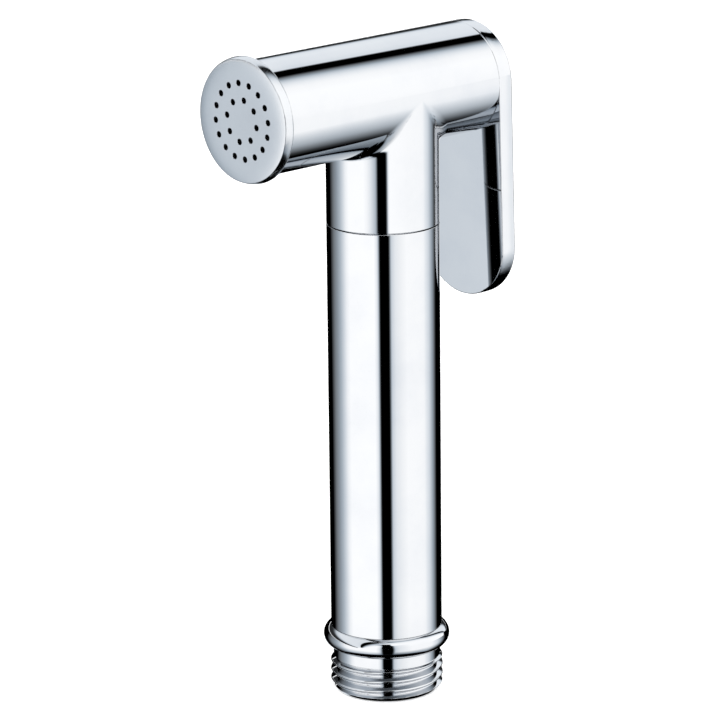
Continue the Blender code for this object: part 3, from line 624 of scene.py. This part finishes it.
def thread_depth(along):
    """Depth of the thread below its crest, at a distance along it from a crest."""
    # Whitworth's form, with 55 degrees between the flanks and round crests and roots
    flank = math.radians(27.5)
    tip = 0.1373 * THREAD_PITCH
    along = abs((along / THREAD_PITCH + 0.5) % 1.0 - 0.5) * THREAD_PITCH
    near = tip * math.cos(flank)
    drop = tip - tip * math.sin(flank)
    if along < near:
        return tip - math.sqrt(tip * tip - along * along)
    if along > THREAD_PITCH / 2 - near:
        inward = THREAD_PITCH / 2 - along
        return THREAD_RADIUS - THREAD_ROOT - tip + math.sqrt(tip * tip - inward * inward)
    return drop + (along - near) / math.tan(flank)


def thread_surface(turn, z):
    """Radius of the threaded end at an angle and a height."""
    along = z - THREAD_PITCH * (turn / math.tau + THREAD_PHASE)
    radius = THREAD_RADIUS - thread_depth(along)
    radius = min(radius, THREAD_ROOT + THREAD_LEAD_IN * z)
    fade = min(1.0, max(0.0, (THREAD_LENGTH - z) / THREAD_RUN_OUT))
    return RELIEF_RADIUS + (radius - RELIEF_RADIUS) * fade


def make_inlet():
    """End fitting: rolled hose thread, relief groove, bead and spigot, all on one bore."""
    rows, bore_edge = 150, 0.2
    # Small steps along and round the thread, for its slopes
    step, nudge = 0.01, 0.004
    faces = []

    def corner(k, row):
        z = THREAD_LENGTH * row / rows
        turn = math.tau * k / ROUND
        r = thread_surface(turn, z)
        above, below = min(z + step, THREAD_LENGTH), max(z - step, 0)
        along = (thread_surface(turn, above) - thread_surface(turn, below)) / (above - below)
        swing = thread_surface(turn + nudge, z) - thread_surface(turn - nudge, z)
        around = swing / (2 * nudge * r)
        c, s = math.cos(turn), math.sin(turn)
        return (r * c, r * s, z), (c + around * s, s - around * c, -along)

    grid = [[corner(k, row) for row in range(rows + 1)] for k in range(ROUND)]
    for k in range(ROUND):
        left, right = grid[k], grid[(k + 1) % ROUND]
        for row in range(rows):
            faces.append([left[row], right[row], right[row + 1], left[row + 1]])
    low = -math.degrees(math.acos((RELIEF_RADIUS - BEAD_CIRCLE) / BEAD_SECTION))
    bottom = BEAD_CENTRE + BEAD_SECTION * math.sin(math.radians(low))
    top = math.degrees(math.acos((BODY_RADIUS - BEAD_CIRCLE) / BEAD_SECTION))
    outline = joined(
        straight((RELIEF_RADIUS, THREAD_LENGTH), (RELIEF_RADIUS, bottom)),
        rounded((BEAD_CIRCLE, BEAD_CENTRE), BEAD_SECTION, low, top, 28),
        straight(*spigot(SHOULDER, 1, SPIGOT_BORE)),
        straight(
            (SPIGOT_BORE, INLET_DEPTH),
            (INLET_BORE, INLET_DEPTH),
            (INLET_BORE, bore_edge),
            (INLET_BORE + bore_edge, 0),
            (THREAD_ROOT, 0),
        ),
    )
    return skin("hose_inlet", faces + turned(outline))


def stadium(inset, y, steps=64):
    """One ring of the lever's outline: (point, outward direction), inset from the full outline."""
    radius = BODY_RADIUS - inset
    ring = []
    for first, centre in ((0, HEAD_AXIS), (1, LEVER_TIP + BODY_RADIUS)):
        for k in range(steps + 1):
            a = math.pi * (first + k / steps)
            c, s = math.cos(a), math.sin(a)
            ring.append(((radius * c, y, centre + radius * s), (c, s)))
    return ring


def lever_faces():
    """Stadium plate with a slightly crowned rim, broken at the front and rounded at the back."""
    inner, outer = 0.25, 0.5
    bulge = 0.04
    front, back = REAR_REACH, REAR_REACH + LEVER_THICKNESS
    section = []
    for k in range(5):
        a = math.radians(90 * k / 4)
        c, s = math.cos(a), math.sin(a)
        section.append((bulge + inner * (1 - s), front + inner * (1 - c), s, -c))
    middle = (front + inner + back - outer) / 2
    span = (back - outer - front - inner) / 2
    for k in range(1, 8):
        share = -1 + 2 * k / 8
        slope = 2 * bulge * share / span
        length = math.hypot(1, slope)
        inset = bulge * share * share
        section.append((inset, middle + share * span, 1 / length, slope / length))
    for k in range(11):
        a = math.radians(90 * k / 10)
        c, s = math.cos(a), math.sin(a)
        section.append((bulge + outer * (1 - c), back - outer * (1 - s), c, s))
    rings = []
    for inset, y, out, back_share in section:
        ring = []
        for point, (c, s) in stadium(inset, y):
            ring.append((point, (out * c, back_share, out * s)))
        rings.append(ring)
    faces = []
    for lower, upper in zip(rings, rings[1:]):
        for k in range(len(lower)):
            j = (k + 1) % len(lower)
            faces.append([lower[k], lower[j], upper[j], upper[k]])
    faces.append([(point, (0, -1, -LEAN_SLOPE)) for point, normal in rings[0]])
    faces.append([(point, (0, 1, LEAN_SLOPE)) for point, normal in rings[-1]])
    return leaning(faces)


def make_lever():
    """The lever: plate and two inner lugs in one piece."""
    plate = lever_faces()
    embed, lug_round, pin_hole, slot_half = 0.6, 1.6, 1.0, 0.35
    root = REAR_REACH + embed
    top = HEAD_AXIS + slot_half + 0.4
    lug_inner, lug_outer, drill_half = 1.3, 2.7, 5.4

    def arc(y, z, radius, start, end, steps):
        points = []
        for k in range(steps + 1):
            a = math.radians(start + (end - start) * k / steps)
            c, s = math.cos(a), math.sin(a)
            points.append((y + radius * c, z + radius * s, c, s))
        return points

    outline = [(root, PIVOT.z - 0.7, 0, -1)]
    outline += arc(PIVOT.y, PIVOT.z, lug_round, 290, 180, 14)
    outline += arc(PIVOT.y, top, lug_round, 180, 90, 10)
    outline.append((root, top + lug_round, 0, 1))
    slot = arc(PIVOT.y, HEAD_AXIS + slot_half, pin_hole, 0, 180, 14)
    slot += arc(PIVOT.y, HEAD_AXIS - slot_half, pin_hole, 180, 360, 14)
    hole = arc(PIVOT.y, PIVOT.z, pin_hole, 0, 360, 28)[:-1]
    groups = [plate]
    tools = []
    for side, low, high in (("left", -lug_outer, -lug_inner), ("right", lug_inner, lug_outer)):
        lug = prism_faces(outline, low, high)
        groups.append(lug)
        tools.append((skin("lug_" + side, lug), "UNION"))
    for name, points in (("link_slot", slot), ("pivot_hole", hole)):
        faces = prism_faces(points, -drill_half, drill_half)
        groups.append(faces)
        tools.append((skin(name, faces), "DIFFERENCE"))
    piece = skin("press_lever", plate)
    return cut(piece, tools, known_normals(*groups), lambda point: ())


def coil_faces(radius, gauge, turns, ends):
    """Faces of a compression spring about Z, of round wire, with its end turns closed up."""
    around, along = 16, 44
    closed_pitch = gauge + CLOSED_TURN_GAP
    bottom, top = ends[0] + gauge / 2, ends[1] - gauge / 2
    open_pitch = (top - bottom - 2 * closed_pitch) / (turns - 2)
    rings = []
    count = int(turns * along)
    for k in range(count + 1):
        turn = turns * k / count
        first = min(turn, 1.0)
        last = max(turn - (turns - 1.0), 0.0)
        height = bottom + closed_pitch * (first + last) + open_pitch * (turn - first - last)
        c, s = math.cos(math.tau * turn), math.sin(math.tau * turn)
        ring = []
        for j in range(around):
            out, up = math.cos(math.tau * j / around), math.sin(math.tau * j / around)
            reach = radius + gauge / 2 * out
            ring.append(((reach * c, reach * s, height + gauge / 2 * up), (out * c, out * s, up)))
        rings.append(ring)
    faces = []
    for lower, upper in zip(rings, rings[1:]):
        for j in range(around):
            i = (j + 1) % around
            faces.append([lower[j], lower[i], upper[i], upper[j]])
    for ring, turn, side in ((rings[0], 0.0, -1), (rings[-1], turns, 1)):
        ahead = (-side * math.sin(math.tau * turn), side * math.cos(math.tau * turn), 0)
        faces.append([(point, ahead) for point, normal in ring])
    return faces


def socket(group, name, kind, way, default=None):
    """Adds an input or an output to a node group."""
    made = group.interface.new_socket(name=name, in_out=way, socket_type=kind)
    if default is not None:
        made.default_value = default
    return made


def wire(tree, start, end):
    """Links one socket to another."""
    tree.links.new(start, end)


def node(tree, kind, **settings):
    """Adds a node with its settings."""
    made = tree.nodes.new(kind)
    for name, value in settings.items():
        setattr(made, name, value)
    return made


def new_material(name):
    """A material and its node tree."""
    material = bpy.data.materials.new(name)
    material.use_nodes = True
    return material, material.node_tree


def metal_skin():
    """Node group: faint polishing ripple, hairline buffing marks and handling haze of a metal."""
    group = bpy.data.node_groups.new("metal_skin", "ShaderNodeTree")
    socket(group, "Ripple Depth", "NodeSocketFloat", "INPUT", 0.01)
    socket(group, "Buffing Depth", "NodeSocketFloat", "INPUT", 0.004)
    socket(group, "Clean Roughness", "NodeSocketFloat", "INPUT", 0.03)
    socket(group, "Hazy Roughness", "NodeSocketFloat", "INPUT", 0.06)
    socket(group, "Roughness", "NodeSocketFloat", "OUTPUT")
    socket(group, "Haze", "NodeSocketFloat", "OUTPUT")
    socket(group, "Normal", "NodeSocketVector", "OUTPUT")
    given = node(group, "NodeGroupInput")
    result = node(group, "NodeGroupOutput")
    place = node(group, "ShaderNodeTexCoord")

    ripple = node(group, "ShaderNodeTexNoise")
    ripple.inputs["Scale"].default_value = 55.0
    ripple.inputs["Detail"].default_value = 1.0
    wire(group, place.outputs["Object"], ripple.inputs["Vector"])
    slow = node(group, "ShaderNodeBump")
    slow.inputs["Distance"].default_value = 0.001
    wire(group, given.outputs["Ripple Depth"], slow.inputs["Strength"])
    wire(group, ripple.outputs["Fac"], slow.inputs["Height"])

    stretch = node(group, "ShaderNodeMapping")
    stretch.inputs["Scale"].default_value = (9000.0, 9000.0, 260.0)
    wire(group, place.outputs["Object"], stretch.inputs["Vector"])
    marks = node(group, "ShaderNodeTexNoise")
    marks.inputs["Scale"].default_value = 1.0
    marks.inputs["Detail"].default_value = 2.0
    wire(group, stretch.outputs["Vector"], marks.inputs["Vector"])
    fine = node(group, "ShaderNodeBump")
    fine.inputs["Distance"].default_value = 0.0001
    wire(group, given.outputs["Buffing Depth"], fine.inputs["Strength"])
    wire(group, marks.outputs["Fac"], fine.inputs["Height"])
    wire(group, slow.outputs["Normal"], fine.inputs["Normal"])
    wire(group, fine.outputs["Normal"], result.inputs["Normal"])

    smudge = node(group, "ShaderNodeTexNoise")
    smudge.inputs["Scale"].default_value = 90.0
    smudge.inputs["Detail"].default_value = 5.0
    smudge.inputs["Roughness"].default_value = 0.6
    wire(group, place.outputs["Object"], smudge.inputs["Vector"])
    spread = node(group, "ShaderNodeMapRange")
    spread.inputs["From Min"].default_value = 0.42
    spread.inputs["From Max"].default_value = 0.72
    wire(group, smudge.outputs["Fac"], spread.inputs["Value"])
    wire(group, spread.outputs["Result"], result.inputs["Haze"])
    rough = node(group, "ShaderNodeMapRange")
    wire(group, spread.outputs["Result"], rough.inputs["Value"])
    wire(group, given.outputs["Clean Roughness"], rough.inputs["To Min"])
    wire(group, given.outputs["Hazy Roughness"], rough.inputs["To Max"])
    wire(group, rough.outputs["Result"], result.inputs["Roughness"])
    return group


def metal(group, name, colour, haze_colour, ripple, buffing, clean, hazy):
    """A metal with its plating or polish taken from the shared skin."""
    material, tree = new_material(name)
    shader = tree.nodes["Principled BSDF"]
    shader.inputs["Metallic"].default_value = 1.0
    surface = node(tree, "ShaderNodeGroup", node_tree=group)
    surface.inputs["Ripple Depth"].default_value = ripple
    surface.inputs["Buffing Depth"].default_value = buffing
    surface.inputs["Clean Roughness"].default_value = clean
    surface.inputs["Hazy Roughness"].default_value = hazy
    tint = node(tree, "ShaderNodeMix", data_type="RGBA")
    tint.inputs["A"].default_value = (*colour, 1.0)
    tint.inputs["B"].default_value = (*haze_colour, 1.0)
    wire(tree, surface.outputs["Haze"], tint.inputs["Factor"])
    wire(tree, tint.outputs["Result"], shader.inputs["Base Color"])
    wire(tree, surface.outputs["Roughness"], shader.inputs["Roughness"])
    wire(tree, surface.outputs["Normal"], shader.inputs["Normal"])
    return material


def moulded(name, colour, dark, roughness, grain):
    """Rubber or plastic with a fine moulded grain and faint mottling."""
    material, tree = new_material(name)
    shader = tree.nodes["Principled BSDF"]
    place = node(tree, "ShaderNodeTexCoord")
    mottle = node(tree, "ShaderNodeTexNoise")
    mottle.inputs["Scale"].default_value = 700.0
    mottle.inputs["Detail"].default_value = 4.0
    wire(tree, place.outputs["Object"], mottle.inputs["Vector"])
    tint = node(tree, "ShaderNodeMix", data_type="RGBA")
    tint.inputs["A"].default_value = (*dark, 1.0)
    tint.inputs["B"].default_value = (*colour, 1.0)
    wire(tree, mottle.outputs["Fac"], tint.inputs["Factor"])
    wire(tree, tint.outputs["Result"], shader.inputs["Base Color"])
    rough = node(tree, "ShaderNodeMapRange")
    rough.inputs["To Min"].default_value = roughness - 0.08
    rough.inputs["To Max"].default_value = roughness + 0.08
    wire(tree, mottle.outputs["Fac"], rough.inputs["Value"])
    wire(tree, rough.outputs["Result"], shader.inputs["Roughness"])
    skin_grain = node(tree, "ShaderNodeTexNoise")
    skin_grain.inputs["Scale"].default_value = 9000.0
    wire(tree, place.outputs["Object"], skin_grain.inputs["Vector"])
    bump = node(tree, "ShaderNodeBump")
    bump.inputs["Strength"].default_value = grain
    bump.inputs["Distance"].default_value = 0.00005
    wire(tree, skin_grain.outputs["Fac"], bump.inputs["Height"])
    wire(tree, bump.outputs["Normal"], shader.inputs["Normal"])
    return material


def card_ramp(tree, stops):
    """Colour ramp round an axis, from (degrees, level) stops. Its greys lean to blue."""
    ramp = node(tree, "ShaderNodeValToRGB")
    stop_list = ramp.color_ramp.elements
    while len(stop_list) > 1:
        stop_list.remove(stop_list[0])
    for angle, level in stops:
        position = angle / 360 + 0.5
        stop = stop_list[0] if angle == stops[0][0] else stop_list.new(position)
        stop.position = position
        blue = 1.0 + CARD_BLUE * max(0.0, 1.0 - abs(level - BLUE_LEVEL) / BLUE_SPREAD)
        stop.color = (level * (2.0 - blue), level, level * blue, 1.0)
    return ramp


def bowl_range(tree, height, slopes):
    """Node that rises from 0 to 1 between two slopes of the bowl, in degrees below its rim."""
    share = node(tree, "ShaderNodeMapRange")
    for limit, slope in zip(("From Min", "From Max"), slopes):
        share.inputs[limit].default_value = -BOWL_RADIUS * math.sin(math.radians(slope))
    wire(tree, height, share.inputs["Value"])
    return share


def card_material(name, stops, low_stops=(), slant=0.0, sheer=False):
    """Lit card with its brightness round its own axis, slanting along a tent or fading down a bowl.

    A sheer card isn't lit, but dims what is seen through it.
    """
    material, tree = new_material(name)
    tree.nodes.clear()
    place = node(tree, "ShaderNodeTexCoord")
    sweep = node(tree, "ShaderNodeTexGradient", gradient_type="RADIAL")
    wire(tree, place.outputs["Object"], sweep.inputs["Vector"])
    height = node(tree, "ShaderNodeSeparateXYZ")
    wire(tree, place.outputs["Object"], height.inputs["Vector"])
    round_axis = sweep.outputs["Fac"]
    if slant:
        lean = node(tree, "ShaderNodeMapRange")
        lean.inputs["From Min"].default_value = -TENT_REAR
        lean.inputs["From Max"].default_value = -TENT_FRONT
        lean.inputs["To Min"].default_value = slant / 360
        lean.inputs["To Max"].default_value = 0.0
        wire(tree, height.outputs["Z"], lean.inputs["Value"])
        added = node(tree, "ShaderNodeMath", operation="ADD")
        wire(tree, round_axis, added.inputs[0])
        wire(tree, lean.outputs["Result"], added.inputs[1])
        round_axis = added.outputs["Value"]
    ramps = [card_ramp(tree, levels) for levels in (stops, low_stops) if levels]
    for ramp in ramps:
        wire(tree, round_axis, ramp.inputs["Fac"])
    shade = ramps[0].outputs["Color"]
    if low_stops:
        share = bowl_range(tree, height.outputs["Z"], BOWL_FADE)
        dim = bowl_range(tree, height.outputs["Z"], BOWL_DARK)
        blend = node(tree, "ShaderNodeMix", data_type="RGBA")
        wire(tree, share.outputs["Result"], blend.inputs["Factor"])
        wire(tree, ramps[0].outputs["Color"], blend.inputs["A"])
        wire(tree, ramps[1].outputs["Color"], blend.inputs["B"])
        foot = node(tree, "ShaderNodeMix", data_type="RGBA")
        foot.inputs["B"].default_value = (0.0, 0.0, 0.0, 1.0)
        wire(tree, dim.outputs["Result"], foot.inputs["Factor"])
        wire(tree, blend.outputs["Result"], foot.inputs["A"])
        shade = foot.outputs["Result"]
    out = node(tree, "ShaderNodeOutputMaterial")
    if sheer:
        film = node(tree, "ShaderNodeBsdfTransparent")
        wire(tree, shade, film.inputs["Color"])
        wire(tree, film.outputs["BSDF"], out.inputs["Surface"])
        return material
    glow = node(tree, "ShaderNodeEmission")
    wire(tree, shade, glow.inputs["Color"])
    glow.inputs["Strength"].default_value = CARD_STRENGTH
    wire(tree, glow.outputs["Emission"], out.inputs["Surface"])
    return material


def studio_card(name, mesh_points, faces, material):
    """A card that only the polished metal sees."""
    mesh = bpy.data.meshes.new(name)
    mesh.from_pydata(mesh_points, [], faces)
    mesh.materials.append(material)
    card = add_object(name, mesh)
    card.visible_camera = False
    card.visible_diffuse = False
    card.visible_shadow = False
    card.visible_transmission = False
    card.visible_volume_scatter = False
    return card


def ribbon(radius, start, end, low, high, bends):
    """Points and faces of a strip bent round Z, between two angles and two heights."""
    points = []
    for k in range(bends + 1):
        a = math.radians(start + (end - start) * k / bends)
        points += [(radius * math.cos(a), radius * math.sin(a), z) for z in (low, high)]
    return points, [(2 * k, 2 * k + 1, 2 * k + 3, 2 * k + 2) for k in range(bends)]


def arc_card(name, stops, radius, low, high, turn, sheer=False):
    """An upright card bent round the handle, from (degrees, level) stops off the camera's side."""
    points, faces = ribbon(radius, stops[0][0], stops[-1][0], low, high, 24)
    card = studio_card(name, points, faces, card_material(name + "_grey", stops, sheer=sheer))
    card.rotation_euler.z = math.radians(CAMERA_AZIMUTH - 90 + turn)


def seen_directly(tree):
    """Socket that is 1 for camera, glossy and transmission rays, and 0 for the light shed."""
    path = node(tree, "ShaderNodeLightPath")
    seen = path.outputs["Is Camera Ray"]
    for ray in ("Is Glossy Ray", "Is Transmission Ray"):
        either = node(tree, "ShaderNodeMath", operation="MAXIMUM")
        wire(tree, seen, either.inputs[0])
        wire(tree, path.outputs[ray], either.inputs[1])
        seen = either.outputs[0]
    return seen


def make_floor():
    """Pale floor just below the object, which its mirrored pieces don't see."""
    floor_mesh = bpy.data.meshes.new("floor")
    reach = 6.0
    corners = [(-reach, -reach, 0), (reach, -reach, 0), (reach, reach, 0), (-reach, reach, 0)]
    floor_mesh.from_pydata(corners, [], [(0, 1, 2, 3)])
    floor = add_object("floor", floor_mesh)
    floor.location.z = -0.0002
    floor.visible_glossy = False
    paint, tree = new_material("pale_floor")
    tree.nodes.clear()
    matt = node(tree, "ShaderNodeBsdfDiffuse")
    matt.inputs["Color"].default_value = (0.9, 0.9, 0.9, 1.0)
    glow = node(tree, "ShaderNodeEmission")
    level = node(tree, "ShaderNodeMath", operation="MULTIPLY")
    level.inputs[1].default_value = 0.4
    wire(tree, seen_directly(tree), level.inputs[0])
    wire(tree, level.outputs[0], glow.inputs["Strength"])
    both = node(tree, "ShaderNodeAddShader")
    wire(tree, matt.outputs[0], both.inputs[0])
    wire(tree, glow.outputs[0], both.inputs[1])
    out = node(tree, "ShaderNodeOutputMaterial")
    wire(tree, both.outputs[0], out.inputs["Surface"])
    floor_mesh.materials.append(paint)


def make_surround():
    """White surround, which sheds a softer light than the camera and the metal see."""
    world = bpy.data.worlds.new("white_surround")
    bpy.context.scene.world = world
    world.use_nodes = True
    tree = world.node_tree
    ground = tree.nodes["Background"]
    ground.inputs["Color"].default_value = (1.0, 1.0, 1.0, 1.0)
    level = node(tree, "ShaderNodeMapRange")
    level.inputs["To Min"].default_value = 0.6
    level.inputs["To Max"].default_value = 1.0
    wire(tree, seen_directly(tree), level.inputs["Value"])
    wire(tree, level.outputs["Result"], ground.inputs["Strength"])


def make_lamps():
    """Soft lamps, which the mirrored pieces don't see."""
    for name, place, size, power in (
        ("key_softbox", (0.75, -0.55, 0.85), 0.7, 9.0),
        ("fill_softbox", (-0.8, -0.3, 0.6), 0.8, 5.0),
        ("back_softbox", (0.1, 0.8, 0.8), 0.6, 5.0),
    ):
        lamp = bpy.data.lights.new(name, "AREA")
        lamp.shape = "SQUARE"
        lamp.size = size
        lamp.energy = power
        stand = add_object(name, lamp)
        stand.location = place
        aim = LAMP_AIM - Vector(place)
        stand.rotation_euler = aim.to_track_quat("-Z", "Y").to_euler()
        stand.visible_glossy = False


def make_bowl():
    """Bowl below the object. Its stops are 0 towards the camera and + to its right."""
    level_stops = (
        (-134, 0.0), (-126, 0.08), (-119, 0.18), (-108, 0.3), (-98, 0.46), (-89, 0.67),
        (-81, 0.88), (-73, 0.99), (-20, 1.0), (40, 0.97), (49, 0.96), (78, 0.955), (86, 0.94),
        (90, 0.92), (94.5, 0.83), (104, 0.68), (114.7, 0.37), (127, 0.05), (131, 0.0),
    )
    steep_stops = (
        (-130, 0.0), (-115, 0.12), (-95, 0.36), (-80, 0.52), (-35, 0.56), (-20, 0.45),
        (22, 0.24), (55, 0.32), (85, 0.4), (95, 0.37), (102, 0.29), (108, 0.17), (117, 0.04),
        (124, 0.0),
    )
    around, down, rise = 96, 32, 125
    points = [(0, 0, -BOWL_RADIUS)]
    faces = []
    for ring in range(1, down + 1):
        slope = math.radians(-90 + rise * ring / down)
        for k in range(around):
            a = math.tau * k / around
            flat = BOWL_RADIUS * math.cos(slope)
            points.append((flat * math.cos(a), flat * math.sin(a), BOWL_RADIUS * math.sin(slope)))
    for k in range(around):
        j = (k + 1) % around
        faces.append((0, 1 + j, 1 + k))
        for ring in range(down - 1):
            low, high = 1 + ring * around, 1 + (ring + 1) * around
            faces.append((low + k, low + j, high + j, high + k))
    grey = card_material("bowl_card_grey", level_stops, steep_stops)
    bowl = studio_card("bowl_card", points, faces, grey)
    bowl.location = (0, 0, BOWL_CENTRE)
    bowl.rotation_euler.z = math.radians(CAMERA_AZIMUTH - 90)


def make_strips():
    """Upright strips: two dark ones on the camera's side, and two pale ones behind."""
    # The dark strips are set a little apart, like the neck and the tube
    tube_stops = (
        (-17.6, 1.0), (-12, 0.8), (-9.7, 0.5), (-8.2, 0.2), (-6.9, 0.0), (10.6, 0.0),
        (12.2, 0.2), (13.9, 0.51), (15.5, 0.66), (22.2, 0.82), (33, 0.91), (45, 1.0),
    )
    neck_stops = (
        (-37, 1.0), (-29.6, 0.92), (-23.6, 0.8), (-14.2, 0.5), (-11.1, 0.2), (-9.7, 0.0),
        (6.5, 0.0), (8.1, 0.2), (9.1, 0.5), (9.7, 0.7), (10.6, 0.87), (13, 1.0),
    )
    radius, foot, split, top = 0.07, -0.06, 0.0748, 0.125
    arc_card("tube_strip_card", tube_stops, radius, foot, split, 0, sheer=True)
    arc_card("neck_strip_card", neck_stops, radius, split, top, 0, sheer=True)

    # Pale strip far behind the handle
    back_stops = ((-8, 0.0), (-5, 0.25), (-2.5, 0.55), (0, 0.85), (2.5, 0.55), (5, 0.25), (8, 0.0))
    arc_card("back_strip_card", back_stops, 1.0, -0.22, 0.02, 180)
    # Pale strip that the pressed lever turns its back to
    low_stops = ((-9, 0.0), (-6, 0.2), (-3, 0.5), (0, 0.7), (3, 0.5), (6, 0.2), (9, 0.0))
    arc_card("low_strip_card", low_stops, 1.0, -0.81, -0.35, 190)


def make_tent():
    """Tent over the head: stops round the head's axis, 0 level towards +X and 90 straight up."""
    tent_stops = (
        (-4, 0.94), (8, 0.97), (45, 0.99), (54, 0.96), (60, 0.94), (65, 0.89), (70.2, 0.8),
        (75.5, 0.65), (78.8, 0.5), (82.2, 0.3), (85.6, 0.15), (88, 0.03), (90, 0.0),
        (103.8, 0.0), (104.8, 0.7), (118, 0.77), (140, 0.78), (152, 0.74), (159, 0.55),
        (164, 0.1), (168, 0.02), (180, 0.02),
    )
    points, faces = ribbon(TENT_RADIUS, -2, 182, -TENT_HALF_LENGTH, TENT_HALF_LENGTH, 90)
    grey = card_material("tent_card_grey", tent_stops, slant=TENT_SLANT)
    tent = studio_card("tent_card", points, faces, grey)
    tent.location = (0, 0, HEAD_AXIS * MM)
    tent.rotation_euler = (math.pi / 2, 0, 0)


def make_flag():
    """Dark upright flag beside the camera."""
    az = math.radians(CAMERA_AZIMUTH)
    beside = Vector((math.sin(az), -math.cos(az), 0)) * FLAG_DISTANCE
    half_width = FLAG_DISTANCE * math.tan(math.radians(FLAG_HALF_ANGLE))
    across = Vector((math.cos(az), math.sin(az), 0)) * half_width
    left, right = beside - across, beside + across
    low, high = FLAG_HEIGHTS
    edges = ((left, low), (right, low), (right, high), (left, high))
    corners = [(point.x, point.y, z) for point, z in edges]
    black, tree = new_material("black_flag")
    cloth = tree.nodes["Principled BSDF"]
    cloth.inputs["Base Color"].default_value = (0.0, 0.0, 0.0, 1.0)
    cloth.inputs["Roughness"].default_value = 1.0
    cloth.inputs["Specular IOR Level"].default_value = 0.0
    studio_card("camera_flag", corners, [(0, 1, 2, 3)], black)


def make_camera():
    """Camera at the photograph's viewing angle."""
    azimuth, elevation = math.radians(CAMERA_AZIMUTH), math.radians(CAMERA_ELEVATION)
    roll = math.radians(CAMERA_ROLL)
    level = math.cos(elevation)
    toward = Vector((math.sin(azimuth) * level, -math.cos(azimuth) * level, math.sin(elevation)))
    right = Vector((math.cos(azimuth), math.sin(azimuth), 0))
    up = toward.cross(right)
    x_axis = right * math.cos(roll) + up * math.sin(roll)
    y_axis = up * math.cos(roll) - right * math.sin(roll)
    data = bpy.data.cameras.new("camera")
    data.sensor_width = SENSOR_WIDTH
    data.lens = CAMERA_FOCUS / PHOTO_WIDTH * SENSOR_WIDTH
    data.shift_x = CAMERA_SHIFT[0] / PHOTO_WIDTH
    data.shift_y = CAMERA_SHIFT[1] / PHOTO_WIDTH
    data.clip_end = 50.0
    camera = add_object("camera", data)
    place = CAMERA_AIM + toward * CAMERA_DISTANCE
    camera.matrix_world = Matrix(
        (
            (x_axis.x, y_axis.x, toward.x, place.x),
            (x_axis.y, y_axis.y, toward.y, place.y),
            (x_axis.z, y_axis.z, toward.z, place.z),
            (0, 0, 0, 1),
        )
    )
    bpy.context.scene.camera = camera


for item in list(bpy.data.objects):
    bpy.data.objects.remove(item, do_unlink=True)

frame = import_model()

metal_group = metal_skin()
finishes = {name: metal(metal_group, name, *look) for name, look in METALS.items()}
finishes |= {name: moulded(name, *look) for name, look in MOULDED.items()}

for piece, nodes, body, slot in (
    (make_head(), ("head_body",), "handset", "polished_chrome"),
    (make_spray_face(), ("spray_cap",), "handset", "satin_chrome"),
    (make_tube(), ("handle_tube",), "handset", "polished_chrome"),
    (make_inlet(), ("inlet_connector",), "handset", "polished_chrome"),
    (make_lever(), ("lever",), "lever_arm", "polished_chrome"),
):
    piece.data.materials.clear()
    piece.data.materials.append(finishes[slot])
    for polygon in piece.data.polygons:
        polygon.material_index = 0
    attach(piece, body)
    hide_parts(*nodes)

# Each spring rides its valve as one rigid piece: the end and travel worked out here are not used to
# squash it
valve_spring = skin("valve_return_spring", along_head(coil_faces(*VALVE_COIL, VALVE_ENDS)))
check_spring = skin("check_return_spring", coil_faces(*CHECK_COIL, CHECK_ENDS))
valve_end = (0, VALVE_ENDS[0] * MM, HEAD_AXIS * MM)
check_end = (0, 0, CHECK_ENDS[0] * MM)
valve_keep = 1 - VALVE_TRAVEL / (VALVE_ENDS[1] - VALVE_ENDS[0])
check_keep = 1 - CHECK_TRAVEL / (CHECK_ENDS[1] - CHECK_ENDS[0])
for spring, node_name, body, joint, axis, anchor, keep in (
    (valve_spring, "valve_spring", "valve", "valve_lift", (0, 1, 0), valve_end, valve_keep),
    (
        check_spring,
        "check_valve_spring",
        "check_poppet",
        "check_lift",
        (0, 0, 1),
        check_end,
        check_keep,
    ),
):
    spring.data.materials.append(finishes["spring_steel"])
    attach(spring, body)
    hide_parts(node_name)
    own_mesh(spring)

slots = {part["node"]: part["material_slot"] for part in frame["record"]["subparts"]}
for name, cad in frame["nodes"].items():
    cad.data.materials.clear()
    cad.data.materials.append(finishes[slots[name]])

make_floor()
make_surround()
make_lamps()
make_bowl()
make_strips()
make_tent()
make_flag()
make_camera()
bpy.context.scene.view_settings.view_transform = "Standard"
